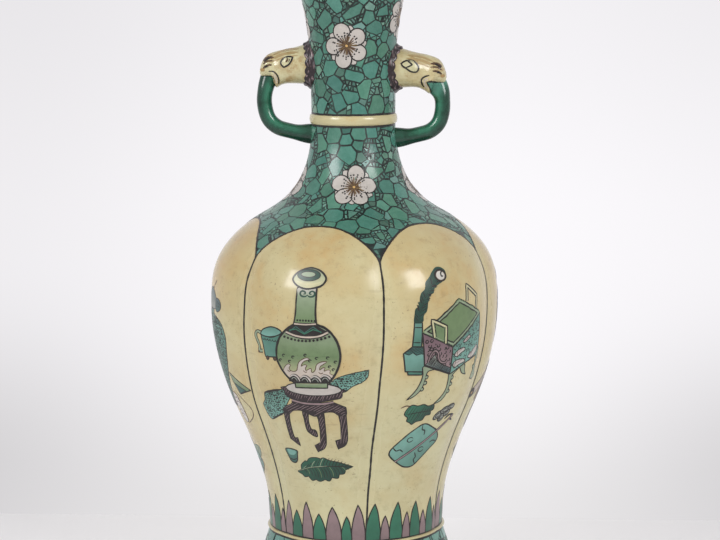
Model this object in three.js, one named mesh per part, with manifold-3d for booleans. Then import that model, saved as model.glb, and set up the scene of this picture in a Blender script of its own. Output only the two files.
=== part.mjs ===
// A six-lobed baluster vase with two animal-head loop handles, in millimetres, +Z up.
// The origin is the centre of the foot's underside, and the handles point along +X and -X.
// Each mesh is one pottery piece as it was thrown, moulded or rolled before the joints were luted.
import * as THREE from "three";
import { mergeVertices } from "three/addons/utils/BufferGeometryUtils.js";
import Module from "manifold-3d";

const wasm = await Module();
wasm.setup();

// The outline's radii, from the foot to the mouth.
const FOOT_RADIUS = 60.5;
const FOOT_TOP_RADIUS = 49.6;
const WAIST_RADIUS = 49.6;
const FLANK_RADIUS = 67;
const BELLY_RADIUS = 80.9;
const SHOULDER_RADIUS = 50;
const NECK_ROOT_RADIUS = 28.4;
const NECK_RADIUS = 23.8;
const FLARE_RADIUS = 26.9;
const MOUTH_RADIUS = 40;

// How far each station stands above the one before it.
const FOOT_LIP_HEIGHT = 5;
const FOOT_TOP_HEIGHT = 35.8;
const WAIST_RISE = 9.2;
const FLANK_RISE = 60;
const BELLY_RISE = 60;
const SHOULDER_RISE = 50.7;
const NECK_ROOT_RISE = 22.3;
const NECK_FILLET_RISE = 26;
const NECK_RISE = 12.6;
const FLARE_CLEARANCE = 11.8;
const MOUTH_RISE = 32;

// How fast the radius changes with height at the stations where it isn't still.
const FOOT_LIP_SLOPE = -0.45;
const FOOT_TOP_SLOPE = -0.28;
const FLANK_SLOPE = 0.44;
const SHOULDER_SLOPE = -1.8;
const NECK_ROOT_SLOPE = -0.4;
const FLARE_SLOPE = 0.2;
const MOUTH_SLOPE = 0.75;

// Walls and joints.
const WALL = 5;
const MOUTH_WALL = 3.4;
const FOOT_WALL = 6;
const FLOOR_THICKNESS = 7;
const LUTING_GAP = 0.3;
const SEAT_ALLOWANCE = 0.05;

// The six lobes: how deep the flutes between them are, and how far the first one is turned from the front.
const LOBES = 6;
const LOBE_TURN_DEG = 15;
const FLUTE_DEPTH_SHARE = 0.042;
const FLUTE_SHARPNESS = 2.4;
const FLUTE_END_RISE = 4.3;
const FLUTE_FADE = 32;
const FLUTE_WAIST_SHARE = 0.35;
const LEAN_DEG = 5;

// The two raised fillets.
const NECK_FILLET_HEIGHT = 6.4;
const NECK_FILLET_PROUD = 1.2;
const FOOT_FILLET_HEIGHT = 2.4;
const FOOT_FILLET_PROUD = 1.3;

// The handles: a mane, a head and a loop on each side.
const LOOP_ROOT_DROP = 6;
const LOOP_HEIGHT = 32;
const LOOP_DIAMETER = 8.8;
const LOOP_SOCKET = 1.2;
const LOOP_SET_BACK = 2.3;
const HEAD_LENGTH = 21.6;
const HEAD_RISE = 18.2;
const HEAD_FALL = 3.4;
const HEAD_HALF_WIDTH = 10;
const NOSE_RISE = 3.2;
const JAW_FALL = 6.8;
const JAW_SET_BACK = 10.6;
const MANE_LENGTH = 6.2;
const MANE_SPREAD = 5;
const RIGHT_HANDLE_DROP = 2.2;

// The heights above the foot's underside, and the handles' reach from the vase's axis.
const WAIST_HEIGHT = FOOT_TOP_HEIGHT + WAIST_RISE;
const FLANK_HEIGHT = WAIST_HEIGHT + FLANK_RISE;
const BELLY_HEIGHT = FLANK_HEIGHT + BELLY_RISE;
const SHOULDER_HEIGHT = BELLY_HEIGHT + SHOULDER_RISE;
const NECK_ROOT_HEIGHT = SHOULDER_HEIGHT + NECK_ROOT_RISE;
const NECK_FILLET_BASE = NECK_ROOT_HEIGHT + NECK_FILLET_RISE;
const NECK_HEIGHT = NECK_FILLET_BASE + NECK_FILLET_HEIGHT + NECK_RISE;
const FLUTE_TOP_HEIGHT = SHOULDER_HEIGHT + FLUTE_END_RISE;
const FLUTE_FULL_HEIGHT = FLUTE_TOP_HEIGHT - FLUTE_FADE;
const FOOT_FILLET_BASE = FOOT_TOP_HEIGHT + LUTING_GAP;
const LOOP_ROOT_HEIGHT = NECK_FILLET_BASE - LOOP_ROOT_DROP;
const LIP_LINE = LOOP_ROOT_HEIGHT + LOOP_HEIGHT;
const HEAD_TOP = LIP_LINE + HEAD_RISE;
const HEAD_LOW = LIP_LINE - HEAD_FALL;
const NOSE_HEIGHT = LIP_LINE + NOSE_RISE;
const JAW_TIP_HEIGHT = LIP_LINE - JAW_FALL;
const HEAD_START = NECK_RADIUS + MANE_LENGTH + LUTING_GAP;
const HEAD_REACH = HEAD_START + HEAD_LENGTH;
const JAW_TIP_X = HEAD_REACH - JAW_SET_BACK;
const LOOP_REACH = HEAD_REACH - LOOP_SET_BACK;
const FLARE_HEIGHT = HEAD_TOP + MANE_SPREAD + FLARE_CLEARANCE;
const MOUTH_HEIGHT = FLARE_HEIGHT + MOUTH_RISE;

// How finely the curves are cut.
const AROUND = 48;
const RING_STEP = 11;
const FINE_STEP = 7;
const HEAD_AROUND = 16;
const LOOP_SIDES = 10;
const LOOP_STEPS = 14;

const CREAM = { color: 0xc9b98b, roughness: 0.3, metalness: 0 };
const TURQUOISE = { color: 0x4c8f7c, roughness: 0.25, metalness: 0 };
const GREEN = { color: 0x2c6a4e, roughness: 0.2, metalness: 0 };
const AUBERGINE = { color: 0x4b3440, roughness: 0.3, metalness: 0 };

// Each station is [height, radius, slope].
const STATIONS = [
  [0, FOOT_RADIUS, 0],
  [FOOT_LIP_HEIGHT, FOOT_RADIUS, FOOT_LIP_SLOPE],
  [FOOT_TOP_HEIGHT, FOOT_TOP_RADIUS, FOOT_TOP_SLOPE],
  [WAIST_HEIGHT, WAIST_RADIUS, 0],
  [FLANK_HEIGHT, FLANK_RADIUS, FLANK_SLOPE],
  [BELLY_HEIGHT, BELLY_RADIUS, 0],
  [SHOULDER_HEIGHT, SHOULDER_RADIUS, SHOULDER_SLOPE],
  [NECK_ROOT_HEIGHT, NECK_ROOT_RADIUS, NECK_ROOT_SLOPE],
  [NECK_HEIGHT, NECK_RADIUS, 0],
  [FLARE_HEIGHT, FLARE_RADIUS, FLARE_SLOPE],
  [MOUTH_HEIGHT, MOUTH_RADIUS, MOUTH_SLOPE],
];

const root = new THREE.Group();

function addMesh(name, geometry, finish, parent = root) {
  const mesh = new THREE.Mesh(geometry, new THREE.MeshStandardMaterial(finish));
  mesh.name = name;
  parent.add(mesh);
  return mesh;
}

function smoothStep(low, high, value) {
  return THREE.MathUtils.smoothstep(value, low, high);
}

// The vase's outer radius at a height, from the cubic between two stations.
function outerRadius(height) {
  let i = STATIONS.findIndex((s) => s[0] > height) - 1;
  if (i < 0) i = height <= 0 ? 0 : STATIONS.length - 2;
  const [h0, r0, s0] = STATIONS[i];
  const [h1, r1, s1] = STATIONS[i + 1];
  const span = h1 - h0;
  const t = THREE.MathUtils.clamp((height - h0) / span, 0, 1);
  return (
    r0 * (2 * t ** 3 - 3 * t ** 2 + 1) +
    r1 * (3 * t ** 2 - 2 * t ** 3) +
    s0 * span * (t ** 3 - 2 * t ** 2 + t) +
    s1 * span * (t ** 3 - t ** 2)
  );
}

// The inner radius, a wall's thickness square to the outer surface.
function innerRadius(height, wall = WALL) {
  const probe = 0.5;
  const slope = (outerRadius(height + probe) - outerRadius(height - probe)) / (2 * probe);
  return outerRadius(height) - wall * Math.sqrt(1 + slope * slope);
}

// How far a point of the wall is drawn in by the flutes between the lobes.
function lobeShare(x, y, height) {
  const lean = LEAN_DEG * (1 - smoothStep(WAIST_HEIGHT, FLUTE_FULL_HEIGHT, height));
  const fromFront = THREE.MathUtils.radToDeg(Math.atan2(x, -y)) + lean - LOBE_TURN_DEG;
  const lobe = 360 / LOBES;
  const fromSeam = THREE.MathUtils.euclideanModulo(fromFront, lobe) / lobe;
  const fromCentre = Math.abs(2 * fromSeam - 1);
  const top = 1 - smoothStep(FLUTE_FULL_HEIGHT, FLUTE_TOP_HEIGHT, height);
  const low = smoothStep(FOOT_TOP_HEIGHT, FLANK_HEIGHT, height);
  const depth = top * (FLUTE_WAIST_SHARE * smoothStep(0, FOOT_TOP_HEIGHT, height) * (1 - low) + low);
  return 1 - FLUTE_DEPTH_SHARE * depth * fromCentre ** FLUTE_SHARPNESS;
}

// A closed profile of [radius, height] points turned about Z, then drawn in at the flutes.
function turned(profile, lobed = true) {
  const points = profile.map(([r, z]) => new THREE.Vector2(r, z));
  points.push(points[0].clone());
  const geometry = new THREE.LatheGeometry(points, AROUND);
  geometry.rotateX(Math.PI / 2);
  if (!lobed) return geometry;
  const position = geometry.getAttribute("position");
  for (let i = 0; i < position.count; i++) {
    const [x, y, z] = [position.getX(i), position.getY(i), position.getZ(i)];
    const share = lobeShare(x, y, z);
    position.setXY(i, x * share, y * share);
  }
  return geometry;
}

// Heights from low to high, no more than a ring step apart, with one at each edge of a fillet.
function levels(low, high, step = RING_STEP) {
  const edges = [FOOT_FILLET_BASE, FOOT_FILLET_BASE + FOOT_FILLET_HEIGHT];
  edges.push(NECK_FILLET_BASE, NECK_FILLET_BASE + NECK_FILLET_HEIGHT);
  const stops = [low, ...edges.filter((z) => z > low && z < high), high];
  const heights = [low];
  for (let i = 1; i < stops.length; i++) {
    const [from, to] = [stops[i - 1], stops[i]];
    const count = Math.max(1, Math.ceil((to - from) / step));
    for (let j = 1; j <= count; j++) heights.push(from + ((to - from) * j) / count);
  }
  return heights;
}

const outside = (low, high, step) => levels(low, high, step).map((z) => [outerRadius(z), z]);
const inside = (low, high, wall, step) =>
  levels(low, high, step)
    .reverse()
    .map((z) => [innerRadius(z, wall), z]);

// A wall between two heights, open at both ends, with flat luting faces.
function wallPiece(low, high, wall = WALL, step = RING_STEP) {
  return turned([...outside(low, high, step), ...inside(low, high, wall, step)]);
}

// The splayed foot: a ring that stands on its rim, with a ledge that the body is luted to.
function footPiece() {
  const rimInner = FOOT_RADIUS - FOOT_WALL;
  return turned([
    [rimInner, 0],
    ...outside(0, FOOT_LIP_HEIGHT),
    ...outside(FOOT_LIP_HEIGHT, FOOT_TOP_HEIGHT, FINE_STEP).slice(1),
    [FOOT_TOP_RADIUS - FOOT_WALL, FOOT_TOP_HEIGHT],
    [rimInner - FOOT_WALL / 3, FOOT_LIP_HEIGHT],
  ]);
}

// The lower half of the body, which carries the vase's floor and stands on the foot.
function lowerBodyPiece() {
  const floorTop = FOOT_TOP_HEIGHT + FLOOR_THICKNESS;
  return turned([
    [0, FOOT_TOP_HEIGHT],
    ...outside(FOOT_TOP_HEIGHT, BELLY_HEIGHT),
    ...inside(floorTop + WALL, BELLY_HEIGHT, WALL),
    [innerRadius(floorTop) - WALL, floorTop],
    [0, floorTop],
  ]);
}

// The trumpet mouth, with a rounded lip.
function mouthPiece() {
  const lip = MOUTH_WALL / 2;
  const centre = MOUTH_RADIUS - lip;
  const arc = [0, 45, 90, 135, 180].map((deg) => {
    const a = THREE.MathUtils.degToRad(deg);
    return [centre + lip * Math.cos(a), MOUTH_HEIGHT + lip * Math.sin(a)];
  });
  const below = inside(FLARE_HEIGHT, MOUTH_HEIGHT, MOUTH_WALL, FINE_STEP).slice(1);
  below[below.length - 1] = [innerRadius(FLARE_HEIGHT), FLARE_HEIGHT];
  const flare = outside(FLARE_HEIGHT, MOUTH_HEIGHT, FINE_STEP).slice(0, -1);
  return turned([...flare, ...arc, ...below], false);
}

// A rounded fillet laid round the wall, a luting gap clear of it. Its face is the middle part of a half circle.
function filletPiece(base, height, proud) {
  const [arcStart, arcSweep] = [0.15, 0.7];
  const seat = (z) => outerRadius(z) + LUTING_GAP;
  const face = [0, 0.25, 0.5, 0.75, 1].map((t) => {
    const z = base + t * height;
    return [seat(z) + proud * Math.sin(Math.PI * (arcStart + arcSweep * t)), z];
  });
  return turned([...face, [seat(base + height), base + height], [seat(base), base]]);
}

// A closed skin over rings of points that all have the same count.
function loft(rings) {
  const around = rings[0].length;
  const points = rings.flat();
  const index = [];
  for (let i = 0; i + 1 < rings.length; i++) {
    for (let j = 0; j < around; j++) {
      const [a, b] = [i * around + j, i * around + ((j + 1) % around)];
      index.push(a, b + around, b, a, a + around, b + around);
    }
  }
  const last = (rings.length - 1) * around;
  for (let j = 1; j + 1 < around; j++) {
    index.push(0, j, j + 1);
    index.push(last, last + j + 1, last + j);
  }
  const geometry = new THREE.BufferGeometry().setFromPoints(points);
  return geometry.setIndex(index);
}

// One oval ring of a head or mane, from its highest and lowest points in the X-Z plane and its half width.
function ovalRing([topX, topZ], [lowX, lowZ], halfWidth) {
  return Array.from({ length: HEAD_AROUND }, (_, j) => {
    const a = (2 * Math.PI * j) / HEAD_AROUND;
    const up = (1 + Math.cos(a)) / 2;
    const x = THREE.MathUtils.lerp(lowX, topX, up);
    return new THREE.Vector3(x, halfWidth * Math.sin(a), THREE.MathUtils.lerp(lowZ, topZ, up));
  });
}

// A closed geometry as a solid for joining and cutting.
function solidOf(geometry) {
  const bare = geometry.clone().deleteAttribute("normal").deleteAttribute("uv");
  const merged = mergeVertices(bare, 1e-3);
  const mesh = new wasm.Mesh({
    numProp: 3,
    vertProperties: new Float32Array(merged.getAttribute("position").array),
    triVerts: new Uint32Array(merged.index.array),
  });
  return new wasm.Manifold(mesh);
}

function geometryOf(solid) {
  const mesh = solid.getMesh();
  const position = new THREE.BufferAttribute(new Float32Array(mesh.vertProperties), 3);
  const geometry = new THREE.BufferGeometry().setAttribute("position", position);
  return geometry.setIndex(new THREE.BufferAttribute(new Uint32Array(mesh.triVerts), 1));
}

// The neck's outside with the luting gap on it, lifted by a handle's drop: it trims a handle piece to its seat.
function seatedOnNeck(geometry, drop) {
  const [low, high] = [NECK_ROOT_HEIGHT, FLARE_HEIGHT];
  const core = levels(low, high).map((z) => [outerRadius(z) + LUTING_GAP + SEAT_ALLOWANCE, z + drop]);
  const blank = turned([[0, low + drop], ...core, [0, high + drop]], false);
  return geometryOf(solidOf(geometry).subtract(solidOf(blank)));
}

// The curled mane, a collar between the neck and the head that spreads towards the neck.
function manePiece(drop) {
  const ring = (x, spread) => {
    const halfWidth = HEAD_HALF_WIDTH + 0.6 * spread;
    return ovalRing([x, HEAD_TOP + spread], [x, HEAD_LOW - spread], halfWidth);
  };
  const blank = loft([
    ring(0.6 * NECK_RADIUS, MANE_SPREAD),
    ring(NECK_RADIUS, 0.7 * MANE_SPREAD),
    ring(NECK_RADIUS + 0.45 * MANE_LENGTH, 0.28 * MANE_SPREAD),
    ring(NECK_RADIUS + MANE_LENGTH, 0),
  ]);
  return seatedOnNeck(blank, drop);
}

// The loop's line, out of the open mouth, down, and back to the neck under the fillet.
// Each point is a share of the way out from the neck and a share of the way down from the mouth.
function loopPath() {
  const root = outerRadius(LOOP_ROOT_HEIGHT);
  const mouth = LIP_LINE + LOOP_SOCKET;
  const shares = [
    [0.88, 0],
    [0.96, 0.21],
    [1, 0.43],
    [0.96, 0.64],
    [0.87, 0.78],
    [0.71, 0.88],
    [0.51, 0.93],
    [0.19, 0.98],
    [-0.1, 1],
  ];
  const points = shares.map(([out, down]) => {
    const x = THREE.MathUtils.lerp(root, LOOP_REACH, out);
    return new THREE.Vector3(x, 0, THREE.MathUtils.lerp(mouth, LOOP_ROOT_HEIGHT, down));
  });
  return new THREE.CatmullRomCurve3(points, false, "centripetal");
}

function loopTube(radius) {
  const section = new THREE.Shape().absarc(0, 0, radius, 0, 2 * Math.PI);
  return new THREE.ExtrudeGeometry(section, {
    extrudePath: loopPath(),
    steps: LOOP_STEPS,
    curveSegments: LOOP_SIDES,
    bevelEnabled: false,
  });
}

// The head: brow, cheeks and lower jaw, then a snout turned down over the open mouth, which holds the loop.
// A top point is a share of the way to the nose and of the fall to it, a low point lies on the jaw or the mouth.
function headPiece() {
  const mix = THREE.MathUtils.lerp;
  const top = (along, fall) => [mix(HEAD_START, HEAD_REACH, along), mix(HEAD_TOP, NOSE_HEIGHT, fall)];
  const jaw = (share) => [mix(HEAD_START, JAW_TIP_X, share), mix(HEAD_LOW, JAW_TIP_HEIGHT, share ** 2)];
  const lip = (share) => [mix(JAW_TIP_X, HEAD_REACH, share), LIP_LINE];
  const blank = loft([
    ovalRing(top(0, 0), jaw(0), HEAD_HALF_WIDTH),
    ovalRing(top(0.22, 0.13), jaw(0.32), 0.98 * HEAD_HALF_WIDTH),
    ovalRing(top(0.45, 0.27), jaw(0.7), 0.88 * HEAD_HALF_WIDTH),
    ovalRing(top(0.65, 0.39), jaw(1), 0.74 * HEAD_HALF_WIDTH),
    ovalRing(top(0.83, 0.53), lip(0.23), 0.66 * HEAD_HALF_WIDTH),
    ovalRing(top(0.95, 0.73), lip(0.57), 0.56 * HEAD_HALF_WIDTH),
    ovalRing(top(1, 1), lip(0.87), 0.36 * HEAD_HALF_WIDTH),
  ]);
  return geometryOf(solidOf(blank).subtract(solidOf(loopTube(LOOP_DIAMETER / 2 + LUTING_GAP))));
}

addMesh("foot", footPiece(), TURQUOISE);
addMesh("foot_fillet", filletPiece(FOOT_FILLET_BASE, FOOT_FILLET_HEIGHT, FOOT_FILLET_PROUD), CREAM);
addMesh("lower_body", lowerBodyPiece(), CREAM);
addMesh("upper_body", wallPiece(BELLY_HEIGHT, NECK_ROOT_HEIGHT, WALL, FINE_STEP), CREAM);
addMesh("neck", wallPiece(NECK_ROOT_HEIGHT, FLARE_HEIGHT), TURQUOISE);
addMesh("mouth", mouthPiece(), TURQUOISE);
addMesh("neck_fillet", filletPiece(NECK_FILLET_BASE, NECK_FILLET_HEIGHT, NECK_FILLET_PROUD), CREAM);

for (const [side, turn, drop] of [["right", 0, RIGHT_HANDLE_DROP], ["left", Math.PI, 0]]) {
  const handle = new THREE.Group();
  handle.rotation.z = turn;
  handle.position.z = -drop;
  root.add(handle);
  addMesh(`${side}_mane`, manePiece(drop), AUBERGINE, handle);
  addMesh(`${side}_head`, headPiece(), CREAM, handle);
  addMesh(`${side}_loop`, seatedOnNeck(loopTube(LOOP_DIAMETER / 2), drop), GREEN, handle);
}

export default root;
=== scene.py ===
import math
import random
from bisect import bisect_right
from functools import partial

import bmesh
import bpy
from mathutils import Matrix, Vector, noise
from mathutils.bvhtree import BVHTree


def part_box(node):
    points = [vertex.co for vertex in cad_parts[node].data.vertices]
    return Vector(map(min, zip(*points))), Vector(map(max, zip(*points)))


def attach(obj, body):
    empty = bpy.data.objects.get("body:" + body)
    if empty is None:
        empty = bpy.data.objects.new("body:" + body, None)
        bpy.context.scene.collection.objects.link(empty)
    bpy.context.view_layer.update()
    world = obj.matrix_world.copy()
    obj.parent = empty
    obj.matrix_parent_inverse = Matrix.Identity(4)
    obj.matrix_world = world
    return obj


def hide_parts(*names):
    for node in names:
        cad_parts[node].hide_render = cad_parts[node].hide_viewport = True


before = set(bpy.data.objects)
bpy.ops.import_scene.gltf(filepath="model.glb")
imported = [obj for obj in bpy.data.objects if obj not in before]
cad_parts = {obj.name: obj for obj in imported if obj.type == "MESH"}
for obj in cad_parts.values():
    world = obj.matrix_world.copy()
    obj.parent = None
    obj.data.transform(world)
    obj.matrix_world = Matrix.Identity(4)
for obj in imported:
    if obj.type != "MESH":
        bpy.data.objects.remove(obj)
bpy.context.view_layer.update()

# A six-lobed baluster vase: thrown and moulded porcelain walls under a mottled cream glaze, a
# cracked-ice ground on the neck, shoulder and foot, and thick enamels painted over the glaze.
# Lengths inside the script are in millimetres. A finished piece is brought to metres.

bl_info = {
    "name": "Lobed baluster vase",
    "version": (1, 0, 0),
    "blender": (4, 5, 0),
    "location": "View3D > Sidebar > Vase",
    "description": "Builds the vase's walls, handles and painted enamels around its packed model",
    "category": "Object",
}

MM = 0.001
BODY = "root"


def top_of(node):
    """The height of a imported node's highest point, in millimetres."""
    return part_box(node)[1].z / MM


def low_of(node):
    """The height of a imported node's lowest point, in millimetres."""
    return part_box(node)[0].z / MM


def reach_of(node):
    """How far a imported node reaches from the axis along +X, in millimetres."""
    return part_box(node)[1].x / MM


def size(title, text, millimetres):
    """A length that the user can change, shown in the scene's units."""
    return bpy.props.FloatProperty(
        name=title, description=text, default=millimetres * MM, unit="LENGTH", precision=5
    )


def number(title, text, value):
    """A plain number that the user can change."""
    return bpy.props.FloatProperty(name=title, description=text, default=value, precision=3)


def linear(red, green, blue):
    """A colour as it is read off a chart, brought to the renderer's linear light."""
    def channel(value):
        share = value / 255
        return share / 12.92 if share <= 0.04045 else ((share + 0.055) / 1.055) ** 2.4
    return channel(red), channel(green), channel(blue)


def colour(title, text, red, green, blue):
    """A colour that the user can change, given in 0 to 255 steps."""
    return bpy.props.FloatVectorProperty(
        name=title, description=text, default=linear(red, green, blue), subtype="COLOR",
        min=0.0, max=1.0,
    )


class VaseShape(bpy.types.PropertyGroup):
    """The wall's outline, its lobes and its layers."""

    foot_lip: size("Foot lip height", "Height of the foot's upright lip", 5)
    waist_height: size("Waist height", "Height of the narrowest place above the foot", 45)
    waist_radius: size("Waist radius", "Radius of the narrowest place", 49.6)
    flank_height: size("Flank height", "Height where the body swells fastest", 105)
    flank_radius: size("Flank radius", "Radius where the body swells fastest", 67)
    belly_radius: size("Belly radius", "Largest radius, at the body's joint", 80.9)
    shoulder_height: size("Shoulder height", "Height of the shoulder's steepest place", 215.7)
    shoulder_radius: size("Shoulder radius", "Radius of the shoulder's steepest place", 50)
    neck_height: size("Neck height", "Height of the neck's narrowest place", 283)
    neck_radius: size("Neck radius", "Radius of the neck's narrowest place", 23.8)
    mouth_height: size("Mouth height", "Height where the lip's round begins", 357)
    wall: size("Wall", "Thickness of the body's wall", 5)
    mouth_wall: size("Mouth wall", "Thickness of the wall at the lip", 3.4)
    foot_wall: size("Foot wall", "Thickness of the foot's wall", 6)
    floor: size("Floor", "Thickness of the vase's floor", 7)
    sink: size("Enamel allowance", "How far the clay lies inside the packed wall, to make room "
               "for the enamels", 0.5)
    flute_share: number("Flute depth", "Depth of a flute as a share of the radius", 0.042)
    flute_sharpness: number("Flute sharpness", "How narrow the flutes between the lobes are", 2.4)
    flute_fade_from: size("Flutes fade from", "Height where the flutes begin to fade", 188)
    flute_fade_to: size("Flutes fade to", "Height where the flutes end", 220)
    lean: number("Seam lean", "How many degrees the seams lean between shoulder and waist", 5)
    first_lobe: number("First lobe", "Where a seam lies, in degrees from the front", 15)
    arch_foot: size("Arch foot", "Height of the cusps between the panels' arches", 195.5)
    arch_rise: size("Arch rise", "Rise of a panel's arch above the cusps", 17.7)


class VasePalette(bpy.types.PropertyGroup):
    """The glazes and enamels."""

    cream: colour("Cream", "Mottled cream glaze", 181, 166, 124)
    golden: colour("Golden cream", "Cream glaze where it is warmest", 183, 158, 107)
    pale: colour("Pale cream", "Cream glaze where it is palest", 193, 187, 149)
    turquoise: colour("Turquoise", "Enamel of the cracked ice", 65, 113, 98)
    chip: colour("Grey chip", "Enamel of the ice's small chips", 94, 130, 118)
    pool: colour("Blue pool", "Paler and bluer turquoise", 90, 132, 120)
    ground: colour("Ice ground", "Near-black green between the ice plates", 14, 26, 23)
    ink: colour("Ink", "Dark drawing lines", 30, 26, 24)
    brown: colour("Brown ink", "Thin brown drawing lines", 84, 62, 44)
    tan: colour("Tan", "Brown stains of thin glaze", 158, 128, 84)
    ochre: colour("Ochre", "Small touches of ochre", 186, 148, 92)
    white: colour("White", "White enamel", 200, 195, 188)
    petal: colour("Petal", "White of the blossoms", 182, 175, 169)
    blush: colour("Blush", "Pinkish white", 186, 172, 158)
    grey: colour("Grey", "Grey enamel", 134, 138, 130)
    leaf: colour("Leaf green", "Lappet and leaf green", 46, 108, 84)
    bottle: colour("Bottle green", "Dark green of leaves", 28, 64, 52)
    deep: colour("Deep green", "Green glaze of the loops", 28, 82, 62)
    apple: colour("Apple green", "Yellowish green enamel", 102, 124, 86)
    celadon: colour("Celadon", "Pale green enamel", 138, 152, 126)
    teal: colour("Teal", "Dark blue-green enamel", 50, 90, 84)
    slate: colour("Slate", "Grey-blue enamel", 62, 88, 92)
    sky: colour("Bright turquoise", "Bluer turquoise enamel", 112, 158, 147)
    mauve: colour("Mauve", "Pale aubergine enamel", 142, 120, 122)
    plum: colour("Plum", "Middle aubergine enamel", 108, 84, 92)
    aubergine: colour("Aubergine", "Dark aubergine enamel", 42, 30, 34)
    clay: colour("Clay", "Unglazed clay of the foot rim", 176, 158, 132)


def tone(paint, strength=1.0):
    """A colour given by its name in the palette, or one already mixed, at a strength."""
    if isinstance(paint, str):
        paint = getattr(bpy.context.scene.vase_palette, paint)
    return Vector(paint) * strength


FOOT_LIP_SLOPE = -0.45
FOOT_TOP_SLOPE = -0.28
FLANK_SLOPE = 0.44
SHOULDER_SLOPE = -1.8
NECK_ROOT_SLOPE = -0.4
FLARE_SLOPE = 0.2
MOUTH_SLOPE = 0.75
FLARE_RADIUS = 26.9
WAIST_FLUTE_SHARE = 0.35
ARCH_SHARPNESS = 2.4
ARCH_FULLNESS = 0.68
LOBES = 6
LOBE = 360 / LOBES


def angle_of(place):
    """The angle about the axis at which a place lies, in degrees from the front towards +X."""
    return math.degrees(math.atan2(place.x, -place.y))


def about_axis(angle, out, up):
    """The place at an angle about the axis, and at a distance from it."""
    turn = math.radians(angle)
    return Vector((out * math.sin(turn), -out * math.cos(turn), up))


def smooth_step(low, high, value):
    """A soft step from 0 at low to 1 at high."""
    share = min(max((value - low) / (high - low), 0.0), 1.0)
    return share * share * (3 - 2 * share)


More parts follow.
